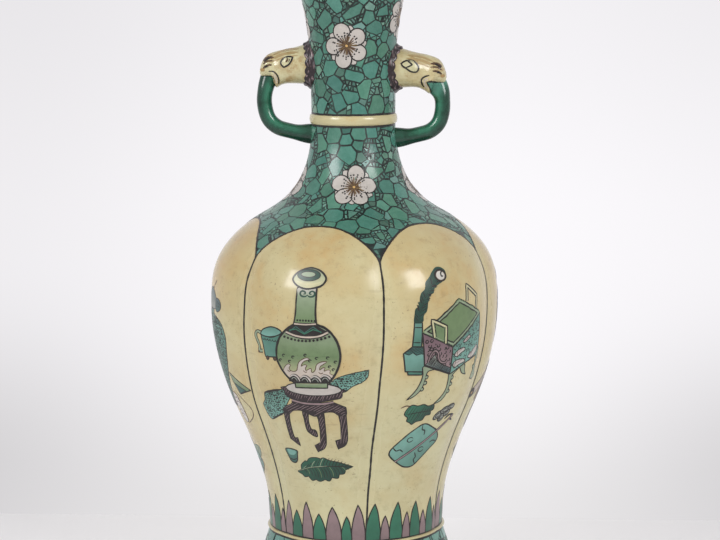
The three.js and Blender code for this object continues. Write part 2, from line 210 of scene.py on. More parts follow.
class Wall:
    """The vase's outer surface in millimetres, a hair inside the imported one.

    A place is an angle in degrees, from the front (-Y) towards +X, and a height above the foot.
    """

    STEP = 0.25

    def __init__(self, shape):
        self.shape = shape
        self.foot_top = top_of("foot")
        self.waist = shape.waist_height / MM
        self.flank = shape.flank_height / MM
        self.fade_from = shape.flute_fade_from / MM
        self.fade_to = shape.flute_fade_to / MM
        self.sink = shape.sink / MM
        self.top = shape.mouth_height / MM
        self.stations = [
            (0, reach_of("foot"), 0),
            (shape.foot_lip / MM, reach_of("foot"), FOOT_LIP_SLOPE),
            (self.foot_top, shape.waist_radius / MM, FOOT_TOP_SLOPE),
            (self.waist, shape.waist_radius / MM, 0),
            (self.flank, shape.flank_radius / MM, FLANK_SLOPE),
            (top_of("lower_body"), shape.belly_radius / MM, 0),
            (shape.shoulder_height / MM, shape.shoulder_radius / MM, SHOULDER_SLOPE),
            (top_of("upper_body"), reach_of("neck"), NECK_ROOT_SLOPE),
            (shape.neck_height / MM, shape.neck_radius / MM, 0),
            (low_of("mouth"), FLARE_RADIUS, FLARE_SLOPE),
            (self.top, reach_of("mouth"), MOUTH_SLOPE),
        ]
        count = round(self.top / self.STEP)
        self.radii = [self.cubic(i * self.STEP) for i in range(count + 1)]
        self.arcs = [0.0]
        self.spans = [0.0]
        for low, high in zip(self.radii, self.radii[1:]):
            rise = math.hypot(self.STEP, high - low)
            self.arcs.append(self.arcs[-1] + rise)
            self.spans.append(self.spans[-1] + 2 * rise / (low + high))

    def cubic(self, z):
        """The radius at a height, from the cubic between two stations."""
        z = min(max(z, 0.0), self.top - 1e-6)
        index = next(i for i, station in enumerate(self.stations) if station[0] > z)
        (z0, r0, s0), (z1, r1, s1) = self.stations[index - 1:index + 1]
        span = z1 - z0
        t = (z - z0) / span
        return (
            r0 * (2 * t**3 - 3 * t**2 + 1) + r1 * (3 * t**2 - 2 * t**3)
            + s0 * span * (t**3 - 2 * t**2 + t) + s1 * span * (t**3 - t**2)
        )

    def read(self, table, z):
        """A table's value at a height."""
        place = min(max(z / self.STEP, 0.0), len(table) - 1.001)
        index = int(place)
        return table[index] + (table[index + 1] - table[index]) * (place - index)

    def find(self, table, value):
        """The height at which a rising table has a value."""
        index = min(max(bisect_right(table, value) - 1, 0), len(table) - 2)
        part = (value - table[index]) / (table[index + 1] - table[index])
        return (index + part) * self.STEP

    def radius(self, z):
        return self.read(self.radii, z)

    def span(self, z):
        """How far up a height lies when each step is counted in radii."""
        return self.read(self.spans, z)

    def height_at(self, span):
        return self.find(self.spans, span)

    def radius_at(self, span):
        return self.radius(self.height_at(span))

    def arc(self, z):
        """How far a height lies from the foot's rim along the wall."""
        return self.read(self.arcs, z)

    def slope(self, z):
        step = 2 * self.STEP
        return (self.radius(z + step) - self.radius(z - step)) / (2 * step)

    def lean(self, z):
        """How many degrees the seams are turned back at a height."""
        return self.shape.lean * (1 - smooth_step(self.waist, self.fade_from, z))

    def from_centre(self, angle, z):
        """How far a place lies from its lobe's middle line, 1 at the seam."""
        from_seam = (angle + self.lean(z) - self.shape.first_lobe) % LOBE / LOBE
        return abs(2 * from_seam - 1)

    def share(self, angle, z):
        """How far the flutes draw the wall in at a place."""
        from_centre = self.from_centre(angle, z)
        low = smooth_step(self.foot_top, self.flank, z)
        waist = WAIST_FLUTE_SHARE * smooth_step(0, self.foot_top, z) * (1 - low)
        depth = (1 - smooth_step(self.fade_from, self.fade_to, z)) * (waist + low)
        return 1 - self.shape.flute_share * depth * from_centre**self.shape.flute_sharpness

    def profile(self, z, lift=0.0):
        """The (radius, height) of the wall's outline, a lift out of the clay's surface."""
        slope = self.slope(z)
        steep = math.hypot(1, slope)
        out = lift - self.sink
        return self.radius(z) + out / steep, z - out * slope / steep

    def point(self, angle, z, lift=0.0):
        """The point of the surface at a place, lifted square to it."""
        out, up = self.profile(z, lift)
        return about_axis(angle, out * self.share(angle, z), up)

    def inner(self, z, thickness):
        """The (radius, height) inside the wall, a thickness square to its outside."""
        slope = self.slope(z)
        return self.radius(z) - thickness * math.hypot(1, slope), z

    def middles(self):
        """The angles of the panels' middles at the belly, the front left one first."""
        return [self.shape.first_lobe + LOBE * (i - 0.5) for i in range(LOBES)]

    def offset(self, angle):
        """How many degrees an angle lies from the middle of its panel's arch."""
        return (angle - self.shape.first_lobe) % LOBE - LOBE / 2

    def arch_places(self, half_count):
        """(offset, height) pairs along a panel's arch, closer together towards its ends."""
        for step in range(-half_count, half_count + 1):
            offset = LOBE / 2 * math.sin(math.pi * step / (2 * half_count))
            yield offset, self.arch(offset)

    def arch(self, offset):
        """The height of a panel's arch, by the angle from the panel's middle."""
        share = min(abs(offset) / (LOBE / 2), 1.0)
        rise = (1 - share**ARCH_SHARPNESS) ** ARCH_FULLNESS
        return self.shape.arch_foot / MM + self.shape.arch_rise / MM * rise


# Turning an edit mesh into a finished piece.
SHARP_EDGE = math.radians(38)


def put(name, data, place=None):
    """A new object in the scene."""
    made = bpy.data.objects.new(name, data)
    if place:
        made.matrix_world = place
    bpy.context.scene.collection.objects.link(made)
    return made


def finish_piece(name, edit, finishes, nodes=()):
    """Makes an object from an edit mesh in millimetres and hangs it on the vase's one body."""
    bmesh.ops.scale(edit, vec=(MM, MM, MM), verts=edit.verts)
    mesh = bpy.data.meshes.new(name)
    edit.to_mesh(mesh)
    edit.free()
    for kind in finishes:
        mesh.materials.append(material(kind))
    mesh.shade_smooth()
    mesh.set_sharp_from_angle(angle=SHARP_EDGE)
    made = put(name, mesh)
    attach(made, BODY)
    if nodes:
        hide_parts(*nodes)


def turned(outline, wall, lobed=True, around=240):
    """A closed outline of (radius, height) points spun about the axis and drawn in at the flutes.

    A lobed piece's columns lean as the seams do, so that a column runs along each seam.
    """
    edit = bmesh.new()
    verts = [edit.verts.new((0, -r, z)) for r, z in outline]
    pairs = list(zip(verts, verts[1:]))
    if outline[0][0] > 0:
        pairs.append((verts[-1], verts[0]))
    edges = [edit.edges.new(pair) for pair in pairs]
    bmesh.ops.spin(
        edit, geom=verts + edges, cent=(0, 0, 0), axis=(0, 0, 1), dvec=(0, 0, 0),
        angle=2 * math.pi, steps=around, use_merge=True, use_duplicate=False,
    )
    bmesh.ops.remove_doubles(edit, verts=edit.verts, dist=1e-4)
    if lobed:
        for vert in edit.verts:
            angle = angle_of(vert.co) - wall.lean(vert.co.z)
            out = math.hypot(vert.co.x, vert.co.y) * wall.share(angle, vert.co.z)
            vert.co = about_axis(angle, out, vert.co.z)
    bmesh.ops.recalc_face_normals(edit, faces=edit.faces)
    return edit


def heights(low, high, step):
    """Evenly spaced heights from low to high, no more than a step apart."""
    count = max(1, math.ceil((high - low) / step))
    return [low + (high - low) * i / count for i in range(count + 1)]


# Shader maths as Python expressions.
class Value:
    """A shader socket that takes part in arithmetic, each step adding its Math node."""

    def __init__(self, recipe, socket):
        self.recipe = recipe
        self.socket = socket

    def math(self, operation, *others, clamp=False):
        values = dict(enumerate((self,) + others))
        settings = {"operation": operation, "use_clamp": clamp}
        return self.recipe.node("ShaderNodeMath", settings, values)

    def __add__(self, other):
        return self.math("ADD", other)

    def __sub__(self, other):
        return self.math("SUBTRACT", other)

    def __mul__(self, other):
        return self.math("MULTIPLY", other)

    def __rsub__(self, other):
        return self.recipe.node("ShaderNodeMath", {"operation": "SUBTRACT"}, {0: other, 1: self})

    __radd__ = __add__
    __rmul__ = __mul__

    def clamped(self):
        return self.math("ADD", 0.0, clamp=True)

    def ramp(self, low, high):
        """0 below low and 1 above high, soft between them."""
        settings = {"interpolation_type": "SMOOTHSTEP"}
        values = {"Value": self, "From Min": low, "From Max": high}
        return self.recipe.node("ShaderNodeMapRange", settings, values)


FINISH_PREFIX = "look_"


class Recipe:
    """The nodes of a material, or of another thing that has nodes, as they are mixed."""

    def __init__(self, name, owner=None):
        self.owner = owner or bpy.data.materials.new(FINISH_PREFIX + name)
        self.owner.use_nodes = True
        self.tree = self.owner.node_tree

    def node(self, kind, settings=None, values=None, output=0):
        """Adds a node, sets it up, fills or links its sockets, and gives one output back."""
        made = self.tree.nodes.new(kind)
        for key, setting in (settings or {}).items():
            setattr(made, key, setting)
        for key, value in (values or {}).items():
            self.fill(made.inputs[key], value)
        return Value(self, made.outputs[output])

    def fill(self, socket, value):
        if isinstance(value, Value):
            self.tree.links.new(value.socket, socket)
            return
        if socket.type == "RGBA" and len(value) == 3:
            value = (*value, 1.0)
        socket.default_value = value

    def place(self):
        return self.node("ShaderNodeTexCoord", output="Object")

    def height(self):
        """The height above the foot, in metres."""
        return self.node("ShaderNodeSeparateXYZ", values={0: self.place()}, output=2)

    def noise(self, scale, detail=2.0, roughness=0.5, at=None):
        values = {"Vector": at or self.place(), "Scale": scale, "Detail": detail}
        values["Roughness"] = roughness
        return self.node("ShaderNodeTexNoise", values=values, output="Fac")

    def mix(self, share, first, second, blend="MIX"):
        settings = {"data_type": "RGBA", "blend_type": blend}
        return self.node("ShaderNodeMix", settings, {0: share, 6: first, 7: second}, output=2)

    def attribute(self, name, output="Color"):
        return self.node("ShaderNodeAttribute", {"attribute_name": name}, output=output)

    def bump(self, height, strength, distance):
        values = {"Height": height, "Strength": strength, "Distance": distance}
        return self.node("ShaderNodeBump", values=values, output="Normal")

    def finish(self, base, roughness, normal, reflection=0.5):
        """Connects what varies over the surface and sets the rest on the shader itself."""
        inputs = self.tree.nodes["Principled BSDF"].inputs
        self.fill(inputs["Base Color"], base)
        self.fill(inputs["Roughness"], roughness)
        self.fill(inputs["Normal"], normal)
        inputs["Specular IOR Level"].default_value = reflection


GLAZE_BUMP = 0.00012
FINE_WAVES = 90
ORANGE_PEEL = 700


def glaze_normal(recipe, strength=0.12):
    """The slow waves and the fine orange peel of a thick glaze."""
    waves = recipe.noise(FINE_WAVES, 1.0)
    peel = recipe.noise(ORANGE_PEEL, 1.0)
    return recipe.bump(waves + peel * 0.25, strength, GLAZE_BUMP)


def cream_glaze(recipe):
    """Cream glaze, golden towards the shoulder, mottled, stained and finely scratched."""
    clouds = recipe.noise(15, 4.0, 0.6)
    stains = recipe.noise(44, 5.0, 0.68)
    grime = recipe.noise(150, 7.0, 0.78)
    high = recipe.height().ramp(0.06, 0.2)
    golden = high * 0.42 + clouds.ramp(0.36, 0.64) * 0.6 + grime * 0.3 - 0.28
    base = recipe.mix(golden.clamped(), tone("pale"), tone("golden"))
    base = recipe.mix(stains.ramp(0.4, 0.64) * 0.4, base, tone("cream"))
    burnt = recipe.noise(30, 6.0, 0.7).ramp(0.5, 0.68) * (high * 0.8 + 0.1)
    base = recipe.mix(burnt * 0.45, base, tone("ochre"))
    # Paler cream along the seams: partly the glaze's own paler strips, partly a painted highlight.
    seam = recipe.attribute("seam", "Fac")
    base = recipe.mix(seam * 0.7, base, tone("pale"))
    along = recipe.node("ShaderNodeVectorMath", {"operation": "MULTIPLY"},
                        {0: recipe.place(), 1: (0.12, 0.12, 1.0)})
    turning = recipe.noise(520, 3.0, 0.6, along).ramp(0.58, 0.66)
    scratch = turning * recipe.noise(38, 2.0).ramp(0.5, 0.66)
    speck = recipe.noise(1000, 2.0).ramp(0.66, 0.72) * recipe.noise(70, 2.0).ramp(0.42, 0.6)
    marks = (scratch * 0.16 + speck * 0.5 + grime.ramp(0.5, 0.72) * 0.2).clamped()
    base = recipe.mix(marks, base, tone("brown"))
    roughness = 0.1 + stains * 0.16 + seam * 0.3
    recipe.finish(base, roughness, glaze_normal(recipe), 0.45)


def tinted(recipe, share, multiple, roughness, waves=0.2):
    """Each place's own tint, turned by a share into a multiple of itself."""
    paint = recipe.attribute("paint")
    other = recipe.mix(1.0, paint, multiple, "MULTIPLY")
    recipe.finish(recipe.mix(share, paint, other), roughness, glaze_normal(recipe, waves))


def painted_enamel(recipe):
    """Enamel whose colour is kept on its mesh, thick and thin by turns."""
    pooled = recipe.noise(160, 4.0, 0.65)
    tinted(recipe, pooled.ramp(0.35, 0.75) * 0.7, (0.72, 0.74, 0.72), 0.24 + pooled * 0.14)


def ice_ground(recipe):
    """The near-black green that shows between the plates of ice."""
    wash = recipe.noise(300, 3.0)
    base = recipe.mix(wash.ramp(0.45, 0.8) * 0.22, tone("ground"), tone("turquoise"))
    recipe.finish(base, 0.3 + wash * 0.1, glaze_normal(recipe))


def pale_lining(recipe):
    """The thin pale glaze inside the neck, and the lip and fillets."""
    clouds = recipe.noise(45, 4.0)
    stains = recipe.noise(120, 5.0, 0.7)
    base = recipe.mix(clouds, tone("pale"), tone("cream"))
    base = recipe.mix(stains.ramp(0.5, 0.7) * 0.5, base, tone("ochre"))
    recipe.finish(base, 0.12 + clouds * 0.12, glaze_normal(recipe))


def bare_clay(recipe):
    """The unglazed clay that the vase stands on."""
    grain = recipe.noise(900, 6.0, 0.7)
    burn = recipe.noise(60, 3.0)
    base = recipe.mix(burn.ramp(0.4, 0.7), tone("clay"), tone("brown"))
    base = recipe.mix(0.75, base, tone("clay"))
    recipe.finish(base, 0.75 + grain * 0.2, recipe.bump(grain, 0.4, 0.0003))


def material(kind):
    """A finish by its function, mixed once."""
    found = bpy.data.materials.get(FINISH_PREFIX + kind.__name__)
    if found is None:
        recipe = Recipe(kind.__name__)
        kind(recipe)
        found = recipe.owner
    return found


# The walls.
BODY_STEP = 2.4
NECK_STEP = 2
FOOT_STEP = 1.7
LINING_STEPS = {"body": 8, "neck": 4}
SEAM_FADE = 0.4
SEAM_NARROWNESS = 6
CLAY_RISE = 1.2
LINING_DROP = 1
RING_LINE = 0.85
FILLET_PROUD = {"neck_fillet": 1.25, "foot_fillet": 1.4}
FILLET_FLATNESS = 0.38
FILLET_STEPS = 12
FILLET_ROOT = 1


def dress_faces(edit, low, high):
    """Gives the first finish to faces that look outward between two heights, else the second."""
    for face in edit.faces:
        middle = face.calc_center_median()
        outward = middle.xy.dot(face.normal.xy) > 0
        face.material_index = 0 if outward and low < middle.z < high else 1


def body_wall(wall):
    """The clay body between foot and neck, with its floor."""
    floor_top = wall.foot_top + wall.shape.floor / MM
    thickness = wall.shape.wall / MM
    seam = top_of("upper_body")
    outer = [wall.profile(z) for z in heights(wall.foot_top, seam, BODY_STEP)]
    inner = [wall.inner(z, thickness)
             for z in heights(floor_top + thickness, seam, LINING_STEPS["body"])]
    outer[0] = wall.inner(wall.foot_top, wall.sink)
    outer[-1] = wall.inner(seam, wall.sink)
    bend = [(inner[0][0] - thickness / 3, floor_top + thickness / 4)]
    bend.append((inner[0][0] - thickness, floor_top))
    outline = [(0, wall.foot_top), *outer, *reversed(inner), *bend, (0, floor_top)]
    edit = turned(outline, wall)
    # How near each place is to a seam, where the cream is painted paler, partly as a painted
    # highlight.
    near_seam = edit.verts.layers.float.new("seam")
    for vert in edit.verts:
        faded = 1 - smooth_step(wall.flank, wall.fade_from, vert.co.z) * SEAM_FADE
        near = wall.from_centre(angle_of(vert.co), vert.co.z) ** SEAM_NARROWNESS
        vert[near_seam] = faded * near
    finish_piece("body_wall", edit, [cream_glaze], ["lower_body", "upper_body"])


def neck_wall(wall):
    """The neck and its trumpet mouth, dark under the ice outside and pale inside."""
    seam = top_of("upper_body")
    thickness = wall.shape.wall / MM
    lip = wall.shape.mouth_wall / MM / 2
    outer = [wall.profile(z) for z in heights(seam, wall.top, NECK_STEP)]
    outer[0] = wall.inner(seam, wall.sink)
    reach = outer[-1][0] - lip
    turns = [math.radians(a) for a in range(15, 180, 15)]
    rim = [(reach + lip * math.cos(a), wall.top + lip * math.sin(a)) for a in turns]

    def depth(z):
        thin = smooth_step(low_of("mouth"), wall.top, z)
        return thickness + (2 * lip - thickness) * thin

    inner = [wall.inner(z, depth(z))
             for z in heights(seam, wall.top - LINING_DROP, LINING_STEPS["neck"])]
    edit = turned([*outer, *rim, *reversed(inner)], wall, lobed=False)
    dress_faces(edit, 0, wall.top - LINING_DROP)
    finish_piece("neck_wall", edit, [ice_ground, pale_lining], ["neck", "mouth"])


def foot_wall(wall):
    """The splayed foot, dark under its ice and bare clay where it stands."""
    thickness = wall.shape.foot_wall / MM
    lip = wall.shape.foot_lip / MM
    outer = [wall.profile(z) for z in heights(CLAY_RISE, wall.foot_top, FOOT_STEP)]
    outer[-1] = wall.inner(wall.foot_top, wall.sink)
    rim = wall.stations[0][1] - wall.sink
    under = [(rim - thickness, 0), (rim - thickness + 0.8, 0), (rim - 1.0, 0), (rim - 0.3, 0.35)]
    inside = [(outer[-1][0] - thickness, wall.foot_top), (rim - 1.3 * thickness, lip)]
    edit = turned([*under, *outer, *inside], wall)
    dress_faces(edit, CLAY_RISE, wall.top)
    finish_piece("foot_wall", edit, [ice_ground, bare_clay], ["foot"])


def fillet(wall, node):
    """A flattened cream fillet laid round the wall."""
    low, high = low_of(node) + RING_LINE / 2, top_of(node) - RING_LINE / 2
    face = []
    for share in heights(0, 1, 1 / FILLET_STEPS):
        z = low + share * (high - low)
        out = FILLET_PROUD[node] * math.sin(math.pi * share) ** FILLET_FLATNESS
        face.append((wall.profile(z)[0] + out, z))
    back = [(wall.profile(z)[0] - FILLET_ROOT, z) for z in (high, low)]
    edit = turned([*face, *back], wall)
    finish_piece(node + "_ring", edit, [pale_lining], [node])


# Cracked ice.
ICE_LINE = (0.6, 1.0)
ICE_GRID = 3.0
ICE_WOBBLE = 0.45
WOBBLE_SEED = 7
ICE_ROOT = -0.02
ICE_LIFT = 0.13
GROUND_LIFT = 0.06
ARCH_GAP = 0.4
ICE_MARGIN = 0.3
LIP_MARGIN = 2.4
FOOT_MARGIN = 1.6
ARCH_REACH = 12


class Heap:
    """One edit mesh that collects painted sheets as they are laid on the wall."""

    def __init__(self):
        self.whole = bmesh.new()
        self.whole.verts.layers.float_color.new("paint")
        self.scratch = bpy.data.meshes.new("scratch")

    def lay(self, sheet, place):
        for vert in sheet.verts:
            vert.co = place(*vert.co)
        sheet.to_mesh(self.scratch)
        self.whole.from_mesh(self.scratch)
        sheet.free()

    def hang(self, name, kind, slot):
        bpy.data.meshes.remove(self.scratch)
        finish_piece(name, self.whole, [kind])


def nearest_turn(turn):
    """The same turn in radians, no more than half way round."""
    return (turn + math.pi) % (2 * math.pi) - math.pi


def cut(sheet, place, normal, clear=False, parts=None):
    """Cuts a sheet, or some of its parts, along a plane, and may clear what lies beyond."""
    parts = parts or sheet.verts[:] + sheet.edges[:] + sheet.faces[:]
    bmesh.ops.bisect_plane(sheet, geom=parts, plane_co=place, plane_no=normal, clear_outer=clear)


def where(face):
    """A face's place on its sheet, by which faces are taken in the same order each time."""
    middle = face.calc_center_median()
    return round(middle.x, 3), round(middle.y, 3)


class IceField:
    """Turquoise plates with chips between them, over a stretch of the wall.

    Places are kept as (turn, span): an angle in radians and the wall's own conformal height, so
    that a plate keeps its shape wherever it lies. One unit of either is a radius long.
    """

    BOX = 0.3
    COLUMNS = round(2 * math.pi / BOX)
    TOUCH = 0.8
    NEIGHBOUR = 2.4
    LAYERS = [(5000, 5.0, 6.8), (6000, 3.6, 4.8), (9000, 2.4, 3.3), (6000, 1.3, 1.9)]
    CRUSHED = 0.26
    STRIP = (1.9, 3.6)
    CHIP_AREA = 7.5
    NARROWEST = 0.55
    BIG = 3.3
    BIG_TINT = (0.84, 1.22)
    CHIP_TINT = (0.5, 1.25)
    WARMTH = 0.04

    def __init__(self, wall, low, high, seed):
        self.wall = wall
        self.low = wall.span(low)
        self.high = wall.span(high)
        self.chance = random.Random(seed)
        self.discs = []
        self.boxes = {}

    def allowed(self, turn, span):
        return True

    def box(self, turn, span, right=0, up=0):
        """The box of a coarse grid that a place lies in, or one beside it."""
        return (int(turn / self.BOX) + right) % self.COLUMNS, int(span // self.BOX) + up

    def near(self, turn, span):
        """The discs about a place, each with its offset in radii."""
        for right in range(-2, 3):
            for up in range(-2, 3):
                for index in self.boxes.get(self.box(turn, span, right, up), ()):
                    other = self.discs[index]
                    yield index, nearest_turn(other[0] - turn), other[1] - span, other[2]

    def scatter(self):
        """Fills the field with discs that nearly touch, the big ones first."""
        for tries, smallest, largest in self.LAYERS:
            for _ in range(tries):
                turn = self.chance.uniform(0, 2 * math.pi)
                span = self.chance.uniform(self.low, self.high)
                radius = self.chance.uniform(smallest, largest)
                if not self.allowed(turn, span):
                    continue
                scale = self.wall.radius_at(span)
                if all(math.hypot(across, up) * scale > (radius + other) * self.TOUCH
                       for _, across, up, other in self.near(turn, span)):
                    self.boxes.setdefault(self.box(turn, span), []).append(len(self.discs))
                    self.discs.append((turn, span, radius))

    def borders(self, turn, span, scale):
        """Where the field ends about a place: a distance and the direction of each border."""
        return [((self.high - span) * scale, 0, 1), ((span - self.low) * scale, 0, -1)]

    def plate(self, index, sheet, big):
        """Cuts one plate out of a square by its borders, and crushes some edges into chips."""
        turn, span, radius = self.discs[index]
        scale = self.wall.radius_at(span)
        cuts = self.borders(turn, span, scale)
        for other, across, up, other_radius in self.near(turn, span):
            gap = math.hypot(across, up) * scale
            if other != index and gap < self.NEIGHBOUR * (radius + other_radius):
                along = (gap * gap + radius * radius - other_radius * other_radius) / (2 * gap)
                cuts.append((along, across * scale / gap, up * scale / gap))
        layer = sheet.verts.layers.float_color.new("paint")
        bmesh.ops.create_grid(sheet, x_segments=1, y_segments=1, size=radius * 2)
        cuts.sort()
        for along, across, up in cuts:
            normal = Vector((across, up, 0))
            cut(sheet, normal * along, normal, clear=True)
        if not sheet.faces:
            return False
        for along, across, up in cuts[:6]:
            if self.chance.random() < self.CRUSHED:
                normal = Vector((across, up, 0))
                near = along - self.chance.uniform(*self.STRIP)
                if near > 0.35 * radius:
                    cut(sheet, normal * near, normal)
        core = max(sheet.faces, key=lambda face: face.calc_area())
        self.crush(sheet, core)
        slivers = [face for face in sheet.faces
                   if 2 * face.calc_area() / face.calc_perimeter() < self.NARROWEST]
        bmesh.ops.delete(sheet, geom=slivers, context="FACES")
        if not sheet.faces:
            return False
        rims = bmesh.ops.inset_individual(sheet, faces=sheet.faces[:], use_even_offset=True,
                                          thickness=self.chance.uniform(*ICE_LINE) / 2)
        bmesh.ops.delete(sheet, geom=rims["faces"], context="FACES")
        for face in sorted(sheet.faces, key=where):
            whole = radius > self.BIG and face.calc_area() > 3 * self.CHIP_AREA
            tint = tone(big).lerp(tone("chip"), 0 if whole else self.chance.uniform(0, 1))
            tint *= self.chance.uniform(*(self.BIG_TINT if whole else self.CHIP_TINT))
            warm = self.chance.uniform(-self.WARMTH, self.WARMTH)
            tint.x *= 1 - 2 * warm
            tint.z *= 1 + 2 * warm
            for vert in face.verts:
                vert[layer] = (*tint, 1.0)
        if radius > ICE_GRID / 2:
            cut_on_grid(sheet, ICE_GRID, ICE_GRID)
        return True

    def crush(self, sheet, core):
        """Breaks all but one of a sheet's faces into chips, each by a cut across it."""
        for _ in range(4):
            chips = [face for face in sorted(sheet.faces, key=where)
                     if face != core and face.calc_area() > self.CHIP_AREA]
            for face in chips:
                edge = max(face.edges, key=lambda edge: edge.calc_length())
                along = (edge.verts[1].co - edge.verts[0].co).normalized()
                if (round(along.x, 3), along.y) < (0, 0):
                    along.negate()
                along.rotate(Matrix.Rotation(self.chance.uniform(-0.6, 0.6), 3, "Z"))
                spot = face.calc_center_median() + along * self.chance.uniform(-0.6, 0.6)
                cut(sheet, spot, along, parts=[face, *face.edges, *face.verts])

    def place(self, turn, span, x, y, lift):
        """The wall's point at an offset in millimetres from a place."""
        scale = self.wall.radius_at(span)
        shift = noise.noise_vector(Vector((x * 0.3, y * 0.3, turn * 9 + span * 5))) * ICE_WOBBLE
        angle = math.degrees(turn + (x + shift.x) / scale)
        z = self.wall.height_at(span + (y + shift.y) / scale)
        return self.wall.point(angle, max(z, self.lowest(angle)), lift)

    def lowest(self, angle):
        """The height below which no plate hangs at an angle."""
        return 0

    def build(self, name, big):
        """All the plates as one piece, each a closed chip of enamel in its own tint."""
        noise.seed_set(WOBBLE_SEED)
        self.scatter()
        heap = Heap()
        for index, (turn, span, _) in enumerate(self.discs):
            sheet = bmesh.new()
            if self.plate(index, sheet, big):
                thicken(sheet, None, ICE_ROOT, ICE_LIFT)
                heap.lay(sheet, partial(self.place, turn, span))
        heap.hang(name, ice_glaze, "ice_glaze")


class ShoulderIce(IceField):
    """The ice above the panels' arches."""

    def __init__(self, wall, high, seed):
        super().__init__(wall, wall.arch(LOBE / 2), high, seed)
        self.domes = [[(math.radians(middle + offset), wall.span(z))
                       for offset, z in wall.arch_places(24)] for middle in wall.middles()]

    def lowest(self, angle):
        return self.wall.arch(self.wall.offset(angle)) + ARCH_GAP

    def allowed(self, turn, span):
        return self.wall.height_at(span) > self.lowest(math.degrees(turn))

    def borders(self, turn, span, scale):
        borders = super().borders(turn, span, scale)[:1]
        for dome in self.domes:
            places = []
            for dome_turn, dome_span in dome:
                across, up = nearest_turn(dome_turn - turn) * scale, (dome_span - span) * scale
                places.append((math.hypot(across, up), across, up))
            gap, across, up = min(places)
            if 0 < gap < ARCH_REACH:
                borders.append((gap, across / gap, up / gap))
        return borders


def cut_on_grid(sheet, across, along):
    """Cuts a flat sheet along even lines, so that it can bend over the wall."""
    for axis, step in ((0, across), (1, along)):
        places = [vert.co[axis] for vert in sheet.verts]
        normal = Vector((1, 0, 0)) if axis == 0 else Vector((0, 1, 0))
        for line in range(math.ceil(min(places) / step), math.floor(max(places) / step) + 1):
            cut(sheet, normal * (line * step), normal)


def thicken(sheet, paint, low, high):
    """Colours a flat sheet and gives it a closed body from one lift to another."""
    if paint is not None:
        layer = sheet.verts.layers.float_color.new("paint")
        for vert in sheet.verts:
            tint = paint(vert.co) if callable(paint) else paint
            vert[layer] = (*tint, 1.0)
    for vert in sheet.verts:
        vert.co.z = low
    grown = bmesh.ops.extrude_face_region(sheet, geom=sheet.faces[:])
    for vert in grown["geom"]:
        if isinstance(vert, bmesh.types.BMVert):
            vert.co.z = high


def ice_glaze(recipe):
    """The ice's enamel: each plate's own tint, clouded and pooled."""
    cloud = recipe.noise(230, 5.0, 0.66)
    tinted(recipe, cloud.ramp(0.35, 0.68) * 0.9, (1.36, 1.2, 1.22), 0.14 + cloud * 0.16)


def shoulder_ground(wall):
    """The dark ground over the panels' arches, spun as a straight band and bent to the wall."""
    top = low_of("neck_fillet")
    rows = heights(0, 1, 1 / 30)
    band = [(1 + GROUND_LIFT, t) for t in rows] + [(1 - 0.1, t) for t in reversed(rows)]
    edit = turned(band, wall, lobed=False, around=40 * LOBES)
    for vert in edit.verts:
        angle = angle_of(vert.co)
        even = wall.offset(angle)
        offset = LOBE / 2 * math.sin(even / LOBE * math.pi)
        low = wall.arch(offset)
        lift = math.hypot(vert.co.x, vert.co.y) - 1
        vert.co = wall.point(angle - even + offset, low + (top - low) * vert.co.z, lift)
    bmesh.ops.recalc_face_normals(edit, faces=edit.faces)
    finish_piece("shoulder_ground", edit, [ice_ground])


def ice_pieces(wall):
    neck = IceField(wall, top_of("neck_fillet") + ICE_MARGIN, wall.top - LIP_MARGIN, 11)
    neck.build("neck_ice", "turquoise")
    shoulder = ShoulderIce(wall, low_of("neck_fillet") - ICE_MARGIN, 23)
    shoulder.build("shoulder_ice", "turquoise")
    foot = IceField(wall, FOOT_MARGIN, low_of("foot_fillet") - ICE_MARGIN, 37)
    foot.build("foot_ice", "pool")


# Painting on the wall.
def curve_through(run, closed, step):
    """Points along a smooth curve through a run of points."""
    count = len(run)
    out = []
    for i in range(count if closed else count - 1):
        here, ahead = run[i], run[(i + 1) % count]
        before = run[i - 1] if closed or i else here * 2 - ahead
        after = run[(i + 2) % count] if closed or i + 2 < count else ahead * 2 - here
        steps = max(1, math.ceil((ahead - here).length / step))
        for j in range(steps):
            t = j / steps
            out.append(0.5 * (
                2 * here + (ahead - before) * t
                + (2 * before - 5 * here + 4 * ahead - after) * t * t
                + (3 * here - before - 3 * ahead + after) * t * t * t
            ))
    return out if closed else out + [run[-1]]


def trace(points, closed=False, sharp=False, step=0.9):
    """A line through points: smooth, with a corner at a point that is given twice."""
    points = [Vector(point) for point in points]
    if sharp:
        points = [point for point in points for _ in range(2)]
    corners = [i for i in range(1, len(points)) if (points[i] - points[i - 1]).length < 1e-6]
    if not corners:
        return curve_through(points, closed, step)
    if closed:
        points = points[corners[0]:] + points[:corners[0]]
    runs, run = [], [points[0]]
    for point in points[1:]:
        if (point - run[-1]).length < 1e-6:
            if len(run) > 1:
                runs.append(run)
            run = [point]
        else:
            run.append(point)
    if len(run) > 1:
        runs.append(run)
    out = []
    for run in runs:
        out += curve_through(run, False, step)[:-1]
    return out if closed else out + [runs[-1][-1]]


